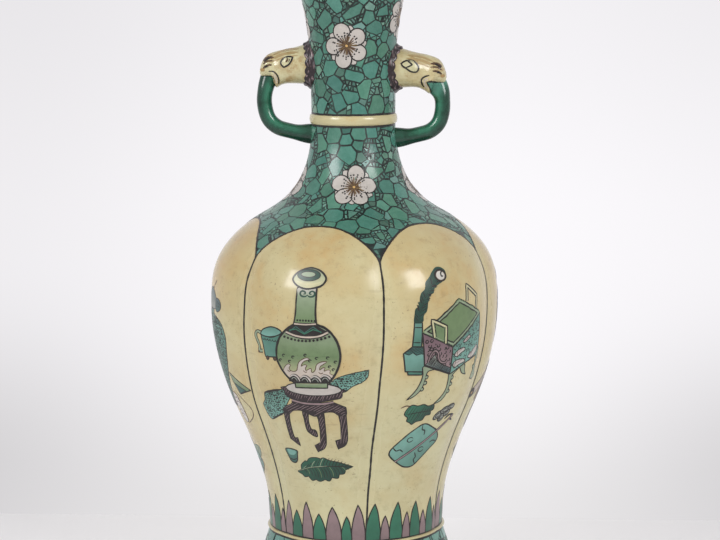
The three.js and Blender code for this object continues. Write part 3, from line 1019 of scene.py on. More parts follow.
class Painting(Heap):
    """Enamels laid on a stretch of the wall as thin closed plates, each over what it covers."""

    FILL_STEP = 0.012
    STROKE_STEP = 0.005
    SQUARE = 0.7
    ROOT = -0.1

    def __init__(self, seed, grid=(1.8, 3.0), relief=1.0):
        super().__init__()
        self.grid = grid
        self.relief = relief
        self.chance = random.Random(seed)

    def on(self, place, lift=0.05, mirrored=False):
        """Turns to another stretch of the wall, and gives back a brush at its origin."""
        self.place = place
        self.lift = lift
        self.mirrored = mirrored
        self.levels = {}
        return Brush(self)

    def add(self, sheet, paint, step):
        """Lifts a flat sheet a step over what it covers, thickens it and lays it on the wall."""
        covered = set()
        for face in sheet.faces:
            across = [vert.co.x // self.SQUARE for vert in face.verts]
            along = [vert.co.y // self.SQUARE for vert in face.verts]
            for i in range(int(min(across)), int(max(across)) + 1):
                for j in range(int(min(along)), int(max(along)) + 1):
                    covered.add((i, j))
        level = step * self.relief + max(self.levels.get(square, 0.0) for square in covered)
        for square in covered:
            self.levels[square] = level
        thicken(sheet, paint, self.ROOT, self.lift + level)
        if self.mirrored:
            bmesh.ops.reverse_faces(sheet, faces=sheet.faces)
        self.lay(sheet, self.place)

    def finish(self, name, slot="cream_glaze"):
        self.hang(name, painted_enamel, slot)


class Brush:
    """A painter's hand at one motif: an origin, a turn and a size on the painting."""

    SWELL = 0.3
    THINNING = 0.2

    def __init__(self, painting, frame_matrix=None):
        self.painting = painting
        self.chance = painting.chance
        self.matrix = frame_matrix or Matrix.Identity(3)

    def at(self, u=0, v=0, turn=0.0, scale=1.0, flip=False):
        """A brush for a motif of its own, placed in this one's millimetres."""
        move = Matrix(((1, 0, u), (0, 1, v), (0, 0, 1)))
        spin = Matrix.Rotation(math.radians(turn), 3, "Z")
        grow = Matrix.Diagonal((-scale if flip else scale, scale, 1))
        return Brush(self.painting, self.matrix @ move @ spin @ grow)

    def path(self, points, closed=False, sharp=False, step=0.9):
        placed = [(self.matrix @ Vector((*point, 1))).to_2d() for point in points]
        return trace(placed, closed, sharp, step)

    def fill(self, points, paint, line=0.0, ink="ink", shade=None, turn=-90, sharp=False):
        """A flat shape, shading into a second colour along a direction, with its outline."""
        outline = self.path(points, True, sharp)
        if sum(a.cross(b) for a, b in zip(outline, outline[1:] + outline[:1])) < 0:
            outline.reverse()
        sheet = bmesh.new()
        sheet.faces.new([sheet.verts.new((*place, 0)) for place in outline])
        sheet.normal_update()
        bmesh.ops.triangulate(sheet, faces=sheet.faces)
        cut_on_grid(sheet, *self.painting.grid)
        paint = mixed = tone(paint)
        if shade is not None:
            along, shade = direction(turn), tone(shade)
            far = [along.dot(place) for place in outline]
            low, high = min(far), max(far)
            def mixed(place):
                share = smooth_step(low, high, along.dot(place.to_2d()))
                return paint.lerp(shade, share)
        self.painting.add(sheet, mixed, self.painting.FILL_STEP)
        if line:
            self.line(points, line, ink, closed=True, sharp=sharp)

    def line(self, points, width, ink="ink", closed=False, sharp=False, taper=0.45, phase=None):
        """A brush line that swells and thins a little, and thins out at its open ends."""
        chance = self.chance
        path = self.path(points, closed, sharp)
        if closed:
            path.append(path[0])
        last = len(path) - 1
        far = phase if phase is not None else chance.uniform(0, 100)
        sheet = bmesh.new()
        bmesh.ops.create_grid(sheet, x_segments=last, y_segments=1, size=1)
        for vert in sheet.verts:
            index = round((vert.co.x + 1) / 2 * last)
            if closed and index in (0, last):
                ahead = path[1] - path[-2]
            else:
                ahead = path[min(index + 1, last)] - path[max(index - 1, 0)]
            swell = 1 + self.SWELL * noise.noise(Vector((far + index * 0.25, 0, 0)))
            from_end = min(index, last - index) / max(last, 1)
            thin = 1 if closed else taper + (1 - taper) * smooth_step(0, self.THINNING, from_end)
            side = left_of(ahead).normalized()
            side *= vert.co.y * width / 2 * swell * thin
            vert.co = (*(path[index] + side), 0)
        self.painting.add(sheet, tone(ink), self.painting.STROKE_STEP)

    def band(self, points, width, paint, line, sharp=False):
        """A stripe of one enamel with an ink line along each side."""
        phase = self.chance.uniform(0, 100)
        self.line(points, width + 2 * line, sharp=sharp, taper=1, phase=phase)
        self.line(points, width, paint, sharp=sharp, taper=1, phase=phase)

    def dot(self, u, v, radius, paint, line=0.0, stretch=1.0):
        """A small round touch of the brush."""
        self.fill(oval(u, v, radius * stretch, radius, 7), paint, line)


def direction(turn):
    """The flat direction at an angle in degrees."""
    return Vector((math.cos(math.radians(turn)), math.sin(math.radians(turn))))


def left_of(ahead):
    """What lies to the left of a flat direction."""
    return Vector((-ahead.y, ahead.x))


def oval(u, v, across, along, count=12, start=0, end=360):
    """Points round an oval, or along a part of it."""
    whole = end - start == 360
    turns = [start + (end - start) * i / (count if whole else count - 1) for i in range(count)]
    places = [math.radians(turn) for turn in turns]
    return [(u + across * math.cos(a), v + along * math.sin(a)) for a in places]


# Places to paint on.
def panel_chart(wall, middle):
    """A panel's flat sheet: u from its middle line, v up from the foot's fillet."""
    base = wall.arc(top_of("foot_fillet"))

    def place(u, v, lift):
        z = wall.find(wall.arcs, base + v)
        angle = middle - wall.lean(z) + math.degrees(u / wall.radius(z))
        return wall.point(angle, z, lift)
    return place


def round_chart(wall, angle, z):
    """A flat sheet about a place, unrolled as a cone is, so that a round motif stays round."""
    slope = wall.slope(z)
    taper = slope / math.hypot(1, slope)
    if abs(taper) < 0.02:
        taper = -0.02
    apex = -wall.radius(z) / taper
    base = wall.arc(z)

    def place(u, v, lift):
        far = math.hypot(u, apex - v) * math.copysign(1, apex)
        up = wall.find(wall.arcs, base + apex - far)
        around = math.atan2(u * math.copysign(1, apex), (apex - v) * math.copysign(1, apex))
        turn = around * far / wall.radius(up)
        return wall.point(angle + math.degrees(turn), up, lift)
    return place


def blossom(brush, radius):
    """A prunus blossom: five round petals, sepals between them, and its stamens."""
    chance = brush.chance
    turns = [90 + 72 * i + chance.uniform(-6, 6) for i in range(5)]
    for turn in turns:
        sepal = brush.at(0, 0, turn + 36, radius)
        sepal.fill([(0.3, -0.16), (0.3, 0.16), (0.74, 0.17), (0.9, 0.06), (0.76, -0.15)],
                   "petal", 0.5)
    for turn in turns:
        reach = radius * chance.uniform(0.95, 1.03)
        petal = brush.at(0, 0, turn, reach)
        petal.fill([(0.16, -0.08), (0.32, -0.26), (0.56, -0.37), (0.8, -0.33), (0.96, -0.16),
                    (1, 0.06), (0.9, 0.26), (0.66, 0.37), (0.36, 0.3), (0.16, 0.08)],
                   "petal", 0.7)
    for i in range(22):
        turn = math.radians(i * 360 / 22 + chance.uniform(-4, 4))
        end = chance.uniform(0.38, 0.47)
        ray = [(radius * t * math.cos(turn), radius * t * math.sin(turn)) for t in (0.05, end)]
        tint = tone("tan", 0.4) if i % 3 == 0 else "brown"
        brush.line(ray, 0.66, tint, taper=0.8)
        for far in (0.07, 0.17)[:1 + i % 2]:
            tip = radius * (end + far + chance.uniform(-0.02, 0.03))
            brush.dot(tip * math.cos(turn), tip * math.sin(turn), 0.5, "ink")
    brush.dot(0, 0, 0.08 * radius, "ochre", 0.3)


# Where the blossoms lie and how far each is turned.
BLOSSOMS = [(-4.2, 308.2, 18), (81, 323, -20), (-93, 319, 30), (176, 309, 5), (4.1, 232, -8),
            (90, 230, 22), (-82, 231, -30), (184, 231, 12), (-3, 15, 0), (62, 20, 25),
            (122, 16, -15), (181, 19, 8), (-121, 16, 33), (-60, 19, -25)]
BLOSSOM_RADIUS = 12.6
FOOT_BLOSSOM_RADIUS = 0.8 * BLOSSOM_RADIUS


def blossoms(wall):
    painting = Painting(5)
    for angle, z, turn in BLOSSOMS:
        radius = BLOSSOM_RADIUS if z > wall.foot_top else FOOT_BLOSSOM_RADIUS
        brush = painting.on(round_chart(wall, angle, z), ICE_LIFT)
        blossom(brush.at(0, 0, turn), radius)
    painting.finish("blossoms", "ice_glaze")


SEAM_LINE = 1.1
# How far each seam's line bows to the right of its groove, from the front seam round to the left.
SEAM_BOWS = [1.7, 0.8, -0.8, 1.2, -0.6, -2.4]
SEAM_LIFT = 0.05
ARCH_LINE = 1.0
UNSTEADY = 0.15


def ring_chart(wall, height):
    """A flat strip round the wall at a height."""
    scale = wall.radius(height)
    return lambda u, v, lift: wall.point(math.degrees(u / scale), height + v, lift)


def panel_lines(wall):
    """The dark seams between the lobes, the arches' borders and the lines beside the fillets."""
    painting = Painting(9)
    base = wall.arc(top_of("foot_fillet"))
    rise = wall.arc(wall.shape.arch_foot / MM) - base
    for middle, bow in zip(wall.middles(), SEAM_BOWS):
        brush = painting.on(panel_chart(wall, middle + LOBE / 2), SEAM_LIFT)
        places = []
        for i in range(12):
            bend = bow * math.sqrt(math.sin(math.pi * i / 12))
            places.append((bend + brush.chance.uniform(-UNSTEADY, UNSTEADY), rise * i / 12))
        brush.line([*places, (0, rise)], SEAM_LINE, taper=1)
    for middle in wall.middles():
        brush = painting.on(panel_chart(wall, middle), ICE_LIFT)
        arch = [(math.radians(offset) * wall.radius(z), wall.arc(z) - base)
                for offset, z in wall.arch_places(20)]
        brush.line(arch, ARCH_LINE, taper=1)
    for node in ("neck_fillet", "foot_fillet"):
        for height in (low_of(node) + 0.1, top_of(node)):
            brush = painting.on(ring_chart(wall, height), ICE_LIFT)
            around = 2 * math.pi * wall.radius(height)
            places = [(around * i / 60, brush.chance.uniform(-UNSTEADY, UNSTEADY))
                      for i in range(61)]
            brush.line(places, RING_LINE, taper=1)
    painting.finish("panel_lines")


# The lappets over the foot's fillet: the enamel, the width and the height of each.
LAPPETS = [
    [("mauve", 6.6, 20), ("leaf", 7.4, 15.5), ("mauve", 7, 20.5), ("leaf", 7.6, 15),
     ("mauve", 8.6, 20), ("leaf", 5.6, 13.5), ("mauve", 7.4, 20)],
    [("leaf", 8.4, 21), ("mauve", 5.4, 14), ("leaf", 8, 20.5), ("mauve", 5.2, 14.5),
     ("leaf", 7.6, 20), ("mauve", 5.4, 14), ("leaf", 7.6, 20.5), ("mauve", 4.6, 14)],
]


def lappets(wall):
    """Pointed leaves that stand on the foot's fillet."""
    painting = Painting(13)
    half = math.radians(LOBE / 2) * wall.radius(top_of("foot_fillet"))
    for index, middle in enumerate(wall.middles()):
        brush = painting.on(panel_chart(wall, middle), 0.06)
        row = LAPPETS[index % 2]
        scale = 2 * half / sum(width for _, width, _ in row)
        start = -half
        for kind, width, height in row:
            wide = width * scale / 2
            leaf = brush.at(start + wide)
            start += 2 * wide
            height += painting.chance.uniform(-0.8, 0.8)
            lean = painting.chance.uniform(-0.5, 0.5)
            right = [(0.86 * wide, 0.46 * height), (wide, 0.2 * height), (0.94 * wide, 0),
                     (0.94 * wide, 0)]
            left = [(-u, v) for u, v in reversed(right)]
            outline = [(lean, height), (lean, height), (0.5 * wide + lean, 0.76 * height),
                       *right, *left, (-0.5 * wide + lean, 0.76 * height)]
            enamel = tone(kind, painting.chance.uniform(0.88, 1.1))
            leaf.fill(outline, enamel, 0.65, shade=enamel * 0.8)
    painting.finish("lappets")


# The handles.
HEAD_START = 25.6
HEAD_RISE = {"left": 18.2, "right": 19.6}
NOSE_RISE = 3.2
LOOP_SOCKET = 1.6
# Each ring of the head: its top's place along the head and fall, its underside's place along the
# head and rise over the lips, and its width.
HEAD_RINGS = [
    (-0.22, 0, -0.22, -3.9, 1), (0.05, 0.0, 0.05, -3.8, 1), (0.24, 0.1, 0.24, -3.5, 1),
    (0.42, 0.17, 0.42, -3.5, 0.96), (0.56, 0.21, 0.54, -4.2, 0.88), (0.67, 0.26, 0.63, -5.9, 0.8),
    (0.76, 0.31, 0.67, -5.2, 0.76), (0.84, 0.38, 0.7, -0.6, 0.74), (0.91, 0.51, 0.78, 0, 0.7),
    (0.96, 0.68, 0.86, 0, 0.62), (0.99, 0.84, 0.93, 0.2, 0.5), (1, 1.0, 0.97, 0.8, 0.32),
]
THROAT_RISE = {"left": 0.0, "right": 1.4}
EYE_PLACE = {"left": 36.4, "right": 33.6}
EYE_RISE = 9
LOOP_MOUTH = {"left": (0.85, 1.12), "right": (0.79, 1.42)}
LOOP_SHARES = [(0.96, 0.21), (1, 0.43), (0.96, 0.64), (0.87, 0.78), (0.71, 0.88), (0.51, 0.93),
               (0.19, 0.98), (-0.22, 1)]
# How far the mane stands out round the head, from inside the neck to its front edge.
MANE_FLARE = [(18.6, 4.4), (20.6, 4.0), (22.6, 3.5), (24.2, 2.6), (25.6, 1.6), (26.8, 0.9),
              (27.5, 0.5), (27.8, -0.1), (27.5, -0.9)]
# How much nearer the neck the mane's front edge lies on the head's cheeks.
MANE_RETREAT = {"left": 1.8, "right": 3.8}
HEAD_AROUND = 64
HEAD_ALONG = 64
HEAD_ROUNDNESS = 0.86
HEAD_GRID = (0.4, 0.4)
HEAD_RELIEF = 6.0
LOOP_AROUND = 24
LOOP_STEP = 1.4
# Where the loop's painted highlight lies round the tube, and how wide it is.
LOOP_PAINTED_SHEEN = 0.42
LOOP_SLIM = 0.97
LOOP_ROOT_SWELL = 0.32
LOOP_FLAT = 0.12
MOUTH_SHINE = 1.35
MANE_AROUND = 120
MANE_STEP = 0.34
LOCK_RELIEF = 0.4
LOCKS = 13
SCALLOPS = 15


def between(rows, place):
    """The numbers at a place between the rows of a table."""
    index = min(int(place), len(rows) - 2)
    return [a + (b - a) * (place - index) for a, b in zip(*rows[index:index + 2])]


def turns_of(count):
    """Even turns once round, in radians."""
    return [2 * math.pi * step / count for step in range(count)]


def lofted(rings, tints=None):
    """A closed skin over rings of points that all have the same count, each with its tint."""
    around, last = len(rings[0]), len(rings) - 1
    edit = bmesh.new()
    layer = edit.verts.layers.float_color.new("paint")
    bmesh.ops.create_grid(edit, x_segments=around, y_segments=last, size=1)
    for vert in edit.verts:
        index = round((vert.co.x + 1) / 2 * around) % around
        row = round((vert.co.y + 1) / 2 * last)
        if tints:
            vert[layer] = (*tints[row][index], 1.0)
        vert.co = rings[row][index]
    bmesh.ops.remove_doubles(edit, verts=edit.verts, dist=1e-4)
    bmesh.ops.holes_fill(edit, edges=[edge for edge in edit.edges if edge.is_boundary], sides=0)
    bmesh.ops.recalc_face_normals(edit, faces=edit.faces)
    return edit


class Handle:
    """One handle's places in its own upright plane: out from the vase's axis, and up."""

    def __init__(self, wall, side):
        self.wall = wall
        self.side = side
        self.sign = 1 if side == "right" else -1
        low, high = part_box(side + "_head")
        self.reach = max(abs(low.x), abs(high.x)) / MM
        self.half_width = high.y / MM
        self.head_top = high.z / MM
        self.rise = HEAD_RISE[side]
        self.lip = self.head_top - self.rise
        low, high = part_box(side + "_loop")
        self.loop_radius = (high.y - low.y) / MM / 2
        self.loop_reach = max(abs(low.x), abs(high.x)) / MM - self.loop_radius
        self.loop_low = low.z / MM + self.loop_radius

    def head_ring(self, share):
        """The oval round the head at a share of the way from its back to its nose."""
        over, fall, under, rise, width = between(HEAD_RINGS, share * (len(HEAD_RINGS) - 1))
        length = self.reach - HEAD_START
        top = Vector((HEAD_START + over * length, self.head_top - fall * (self.rise - NOSE_RISE)))
        throat = THROAT_RISE[self.side] * (1 - smooth_step(0.3, 0.6, under))
        low = Vector((HEAD_START + under * length, self.lip + rise + throat))
        ring = []
        for a in turns_of(HEAD_AROUND):
            flat = low.lerp(top, (1 + math.cos(a)) / 2)
            wide = math.copysign(abs(math.sin(a)) ** HEAD_ROUNDNESS, math.sin(a))
            ring.append(Vector((flat.x, self.half_width * width * wide, flat.y)))
        return ring

    def head(self):
        edit = lofted([self.head_ring(share) for share in heights(0, 1, 1 / HEAD_ALONG)])
        inner = [vert for vert in edit.verts if vert.co.x > HEAD_START]
        for _ in range(4):
            bmesh.ops.smooth_vert(edit, verts=inner, factor=0.5, use_axis_x=True, use_axis_y=True,
                                  use_axis_z=True)
        edit.normal_update()
        moves, mounds = [], list(self.mounds())
        for vert in edit.verts:
            push = 0.0
            for out, up, radius, rise in mounds:
                gap = math.hypot(vert.co.x - out, vert.co.z - up) / radius
                push += rise * math.exp(-gap * gap) * min(abs(vert.normal.y) * 1.6, 1)
            moves.append(vert.normal * push)
        for vert, move in zip(edit.verts, moves):
            vert.co += move
        self.turn(edit)
        tree = BVHTree.FromBMesh(edit)
        finish_piece(self.side + "_head_form", edit, [head_glaze],
                     [self.side + "_head"])
        self.paint_head(tree)

    def mounds(self):
        """Swellings of the head: out, up, radius and height of each."""
        from_eye = [(0, 0, 3.2, 0.9), (0, 3.6, 2.2, 0.7), (3, -6, 3, -0.4)]
        from_nose = [(-4.5, 8, 2.2, 0.8), (-9, 1.2, 1.8, 0.8), (-10.4, -3.6, 1.8, 0.6)]
        for (out, up), rows in ((self.eye(), from_eye), ((self.reach, self.lip), from_nose)):
            for right, above, radius, rise in rows:
                yield out + right, up + above, radius, rise

    def eye(self):
        return EYE_PLACE[self.side], self.lip + EYE_RISE

    def turn(self, edit):
        """Brings a piece made on the +X side to the handle's own side."""
        if self.sign < 0:
            bmesh.ops.rotate(edit, verts=edit.verts, cent=(0, 0, 0),
                             matrix=Matrix.Rotation(math.pi, 3, "Z"))

    def cheek(self, tree, face):
        """Paints onto the head's front (-1) or back (1) from the side."""
        def place(u, v, lift):
            start = Vector((u * self.sign, face * 60, v))
            hit, normal, _, _ = tree.ray_cast(start, Vector((0, -face, 0)))
            if hit is None:
                hit, normal, _, _ = tree.find_nearest(Vector((u * self.sign, face * 4, v)))
            return hit + normal * lift
        return place

    def paint_head(self, tree):
        """Eyes, brows, nostrils and lips on both sides of the head."""
        painting = Painting(41, HEAD_GRID, HEAD_RELIEF)
        for face in (-1, 1):
            mirrored_side = (self.sign > 0) != (face < 0)
            brush = painting.on(self.cheek(tree, face), 0.1, mirrored_side)
            nose = brush.at(self.reach, self.lip)
            thin_glaze = tone("tan").lerp(tone("cream"), 0.35)
            for rise, width in ((9.8, 0.7), (11.6, 1.3), (13.4, 0.9)):
                nose.line([(HEAD_START + 4 - self.reach, rise + 2.6), (-14, rise + 1.4),
                           (-7, rise - 1.4)], width, thin_glaze, taper=0.1)
            self.paint_eye(brush.at(*self.eye()))
            for up, back, width in ((11.2, 8.8, 1.2), (9.4, 8.4, 0.75), (7.2, 7.6, 1.1)):
                nose.line([(-2.6, up - 1.9), (-5, up - 0.3), (-back, up)], width, "brown",
                          taper=0.2)
            nose.line([(-3, 8.8), (-5, 10.3), (-6.6, 10.9)], 0.8, "ink", taper=0.2)
            nose.dot(-4.4, 6.4, 0.6, "ink", stretch=1.5)
            nose.fill(oval(-2.2, 4.4, 1.2, 0.9), "tan")
            self.paint_mouth(nose)
        painting.finish(self.side + "_head_painting")

    def paint_mouth(self, nose):
        """The fold behind the mouth, the mouth's line and the edge of the jaw."""
        if self.side == "left":
            nose.line([(-5.6, 3.6), (-8, 3.6), (-10.3, 1.8), (-11.2, -1.2), (-10.9, -3.4)], 0.8)
            nose.line([(-8.4, 2.2), (-9.6, 0.4), (-10, -3)], 0.7, "blush")
            nose.line([(-8.2, 0.6), (-5, 0.8), (-1.2, 0.7)], 0.8)
            nose.line([(-8.1, 0.6), (-8.6, -3), (-9, -6)], 0.7)
            return
        nose.line([(-9.4, 4.7), (-11.7, 4.2), (-13.4, 3), (-13.8, 1.7), (-13.4, 0.1),
                   (-12.5, -1.6)], 0.9)
        nose.line([(-10.2, 3.2), (-12, 2), (-12, 0.4), (-10.8, -2.4)], 0.8, "blush")
        nose.fill([(-10.6, 0.8), (-6.4, 0.8), (-6, -4), (-8, -4.6)],
                  tone("turquoise", MOUTH_SHINE), sharp=True)
        nose.line([(-11.1, 1.1), (-8.6, 1.4), (-6.8, 1), (-4.3, 0.6), (-1.9, 0.5)], 0.9)
        nose.line([(-11, 1.1), (-10.2, -0.2), (-9.3, -2), (-8.6, -4), (-8, -6)], 0.7)

    def paint_eye(self, eye):
        if self.side == "left":
            eye.fill([(2.9, -0.6), (2.2, -2), (1.05, -3), (1.05, -3), (-1.6, -1.5), (-2.9, 0.3),
                      (-3.7, 2.4), (-3.7, 2.4), (-1.6, 2.7), (0.4, 2.2), (2.2, 0.8)],
                     "pale", 0.9)
            eye.line([(-1, 2), (-0.8, 0.8), (0, -0.3)], 1, "brown")
            eye.line([(-2.2, 1.6), (-1.5, -0.1)], 0.5)
            return
        eye.fill([(-6.5, 2.4), (-6.5, 2.4), (-4.9, 3.4), (-3.3, 3.9), (-0.3, 3.9), (1.9, 2.3),
                  (3.1, -0.1), (1.9, -2.2), (-1.2, -1.9), (-3.8, -0.2), (-5.5, 0.9)],
                 "pale", 0.9)
        eye.line([(-3, 3.6), (-1.4, 2.7), (-0.4, 1.7), (-0.4, 1.7), (-2.4, 0.7), (-3.8, 0.3)], 0.9)

    def loop(self):
        """The green loop, from inside the open mouth down and back to the neck."""
        root = self.wall.radius(self.loop_low)
        high = self.lip + LOOP_SOCKET
        start, mouth = LOOP_MOUTH[self.side]
        shares = [Vector((root + (self.loop_reach - root) * out,
                          high + (self.loop_low - high) * down))
                  for out, down in [(start, -0.02), (start + 0.015, 0), *LOOP_SHARES]]
        path = curve_through(shares, False, LOOP_STEP)
        rings, tints = [], []
        # Painted shade and a painted highlight for the loop; the highlight is partly thinner
        # glaze, the shade partly pooled glaze.
        dark, bright = tone("bottle", 0.6), tone("leaf", 1.1)
        for index, place in enumerate(path):
            ahead = path[min(index + 1, len(path) - 1)] - path[max(index - 1, 0)]
            side = left_of(ahead).normalized()
            near_mouth = smooth_step(high - 12, high, place.y)
            radius = self.loop_radius * (LOOP_SLIM + (mouth - LOOP_SLIM) * near_mouth)
            radius *= 1 + LOOP_ROOT_SWELL * smooth_step(root + 10, root - 1, place.x)
            fresh = smooth_step(high - 10, high - 2, place.y) * (self.side == "right")
            near_neck = smooth_step(root + 14, root + 2, place.x)
            ring, row = [], []
            deep = min(radius, self.loop_radius * (1 - LOOP_FLAT * near_mouth))
            for a in turns_of(LOOP_AROUND):
                flat = place + side * radius * math.cos(a)
                ring.append(Vector((flat.x, deep * math.sin(a), flat.y)))
                # A painted highlight along the loop's inner side, fainter near the neck; painted
                # shade elsewhere, darkest on the outer side.
                from_painted_sheen = (math.cos(a) + LOOP_PAINTED_SHEEN) / LOOP_PAINTED_SHEEN
                painted_sheen = math.exp(-from_painted_sheen ** 2) * (1 - 0.5 * near_neck)
                tint = dark.lerp(bright, 0.18 + 0.82 * painted_sheen)
                row.append(tint.lerp(tone("turquoise", MOUTH_SHINE), fresh))
            rings.append(ring)
            tints.append(row)
        edit = lofted(rings, tints)
        self.turn(edit)
        finish_piece(self.side + "_loop_form", edit, [loop_glaze],
                     [self.side + "_loop"])

    def lock(self, a, out):
        """How far a place on the mane lies on a curled lock's ridge, 0 to 1."""
        wave = LOCKS * a + 2.4 * math.sin(out * 1.1) + math.sin(3 * a)
        return (0.5 + 0.5 * math.cos(wave)) * (0.6 + 0.4 * math.sin(7 * a + out * 2.3))

    def mane(self):
        """The curled collar between neck and head, ribbed with locks of hair."""
        low = self.lip - 3.6 + THROAT_RISE[self.side]
        middle, half_height = (self.head_top + low) / 2, (self.head_top - low) / 2
        rings, tints = [], []
        for share in heights(0, len(MANE_FLARE) - 1, MANE_STEP):
            ring_out, spread = between(MANE_FLARE, share)
            front = smooth_step(22, 27, ring_out)
            relief = LOCK_RELIEF * (1 - smooth_step(5.6, 7.6, share))
            ring, row = [], []
            for a in turns_of(MANE_AROUND):
                lock = self.lock(a, ring_out)
                ridge = relief * lock
                out = ring_out + front * 0.9 * (abs(math.sin(SCALLOPS * a / 2)) - 1)
                out -= front * MANE_RETREAT[self.side] * math.sin(a) ** 2
                ring.append(Vector((out, (self.half_width + 0.6 * spread + ridge) * math.sin(a),
                                    middle + (half_height + spread + ridge) * math.cos(a))))
                sheen = smooth_step(0.62, 0.9, lock)
                row.append(tone("aubergine").lerp(tone("mauve"), sheen))
            rings.append(ring)
            tints.append(row)
        edit = lofted(rings, tints)
        self.turn(edit)
        finish_piece(self.side + "_mane_form", edit, [painted_enamel],
                     [self.side + "_mane"])


def head_glaze(recipe):
    """The cream glaze of the heads, stained brown where it runs thin."""
    clouds = recipe.noise(95, 4.0, 0.6)
    streaks = recipe.noise(150, 5.0, 0.7)
    base = recipe.mix(clouds.ramp(0.35, 0.65), tone("pale"), tone("cream"))
    base = recipe.mix(streaks.ramp(0.48, 0.66) * 0.75, base, tone("tan"))
    recipe.finish(base, 0.1 + streaks * 0.12, glaze_normal(recipe, 0.2))


def loop_glaze(recipe):
    """The deep green glaze, pooled nearly black in places and thin in others."""
    pooled = recipe.noise(110, 4.0, 0.6)
    tinted(recipe, pooled.ramp(0.42, 0.68), (0.42, 0.5, 0.46), 0.1 + pooled * 0.1, 0.25)


def handles(wall):
    for side in ("left", "right"):
        handle = Handle(wall, side)
        handle.mane()
        handle.head()
        handle.loop()


# Patterns inside a shape.
def crossings(path, place, along):
    """How far along a line from a place it crosses a closed path, in order."""
    across = left_of(along)
    found = []
    for a, b in zip(path, path[1:] + path[:1]):
        side_a, side_b = across.dot(a - place), across.dot(b - place)
        if (side_a > 0) != (side_b > 0):
            found.append(along.dot(a.lerp(b, side_a / (side_a - side_b)) - place))
    return sorted(found)


def hatch(brush, points, spacing, turn, width, ink="ink", broken=0.0, sharp=False):
    """Brush lines across a shape, some of them broken off short."""
    chance = brush.chance
    path = trace(points, True, sharp)
    along = direction(turn)
    across = left_of(along)
    far = [across.dot(place) for place in path]
    line = min(far) + spacing / 2
    while line < max(far):
        stops = crossings(path, across * line, along)
        for start, end in zip(stops[::2], stops[1::2]):
            inset = 0.12 * spacing
            start += inset + chance.uniform(0, broken) * (end - start)
            end -= inset + chance.uniform(0, broken) * (end - start)
            if end - start > 0.5:
                bend = chance.uniform(-0.25, 0.25) * spacing
                middle = across * (line + bend) + along * (start + end) / 2
                ends = [across * line + along * start, middle, across * line + along * end]
                brush.line([tuple(place) for place in ends], width, ink)
        line += spacing * chance.uniform(0.8, 1.25)


def inside_places(brush, points, spacing, margin=0.5, sharp=False):
    """Scattered places inside a shape, a spacing apart."""
    chance = brush.chance
    path = trace(points, True, sharp)
    low_u, high_u = min(p.x for p in path), max(p.x for p in path)
    row = min(p.y for p in path) + spacing / 2
    shift = 0.0
    while row < max(p.y for p in path):
        stops = crossings(path, Vector((0, row)), Vector((1, 0)))
        place = low_u + shift
        while place < high_u:
            u = place + chance.uniform(-0.25, 0.25) * spacing
            if any(a + margin < u < b - margin for a, b in zip(stops[::2], stops[1::2])):
                yield u, row + chance.uniform(-0.2, 0.2) * spacing
            place += spacing
        shift = spacing / 2 - shift
        row += spacing * 0.87


def curls(brush, points, spacing, width=0.4, ink="ink", sharp=False):
    """Small brush curls that cover a shape, as on brocade or carved lacquer."""
    chance = brush.chance
    for u, v in inside_places(brush, points, spacing, 0.4 * spacing, sharp):
        turn = chance.uniform(0, 360)
        reach = spacing * chance.uniform(0.24, 0.36)
        arc = oval(u, v, reach, reach, 5, turn, turn + chance.uniform(150, 280))
        brush.line(arc, width, ink, taper=0.7)


def speckles(brush, points, spacing, radius, ink, sharp=False):
    chance = brush.chance
    for u, v in inside_places(brush, points, spacing, 0.3 * spacing, sharp):
        brush.dot(u, v, radius * chance.uniform(0.6, 1.25), ink, stretch=chance.uniform(0.8, 1.7))


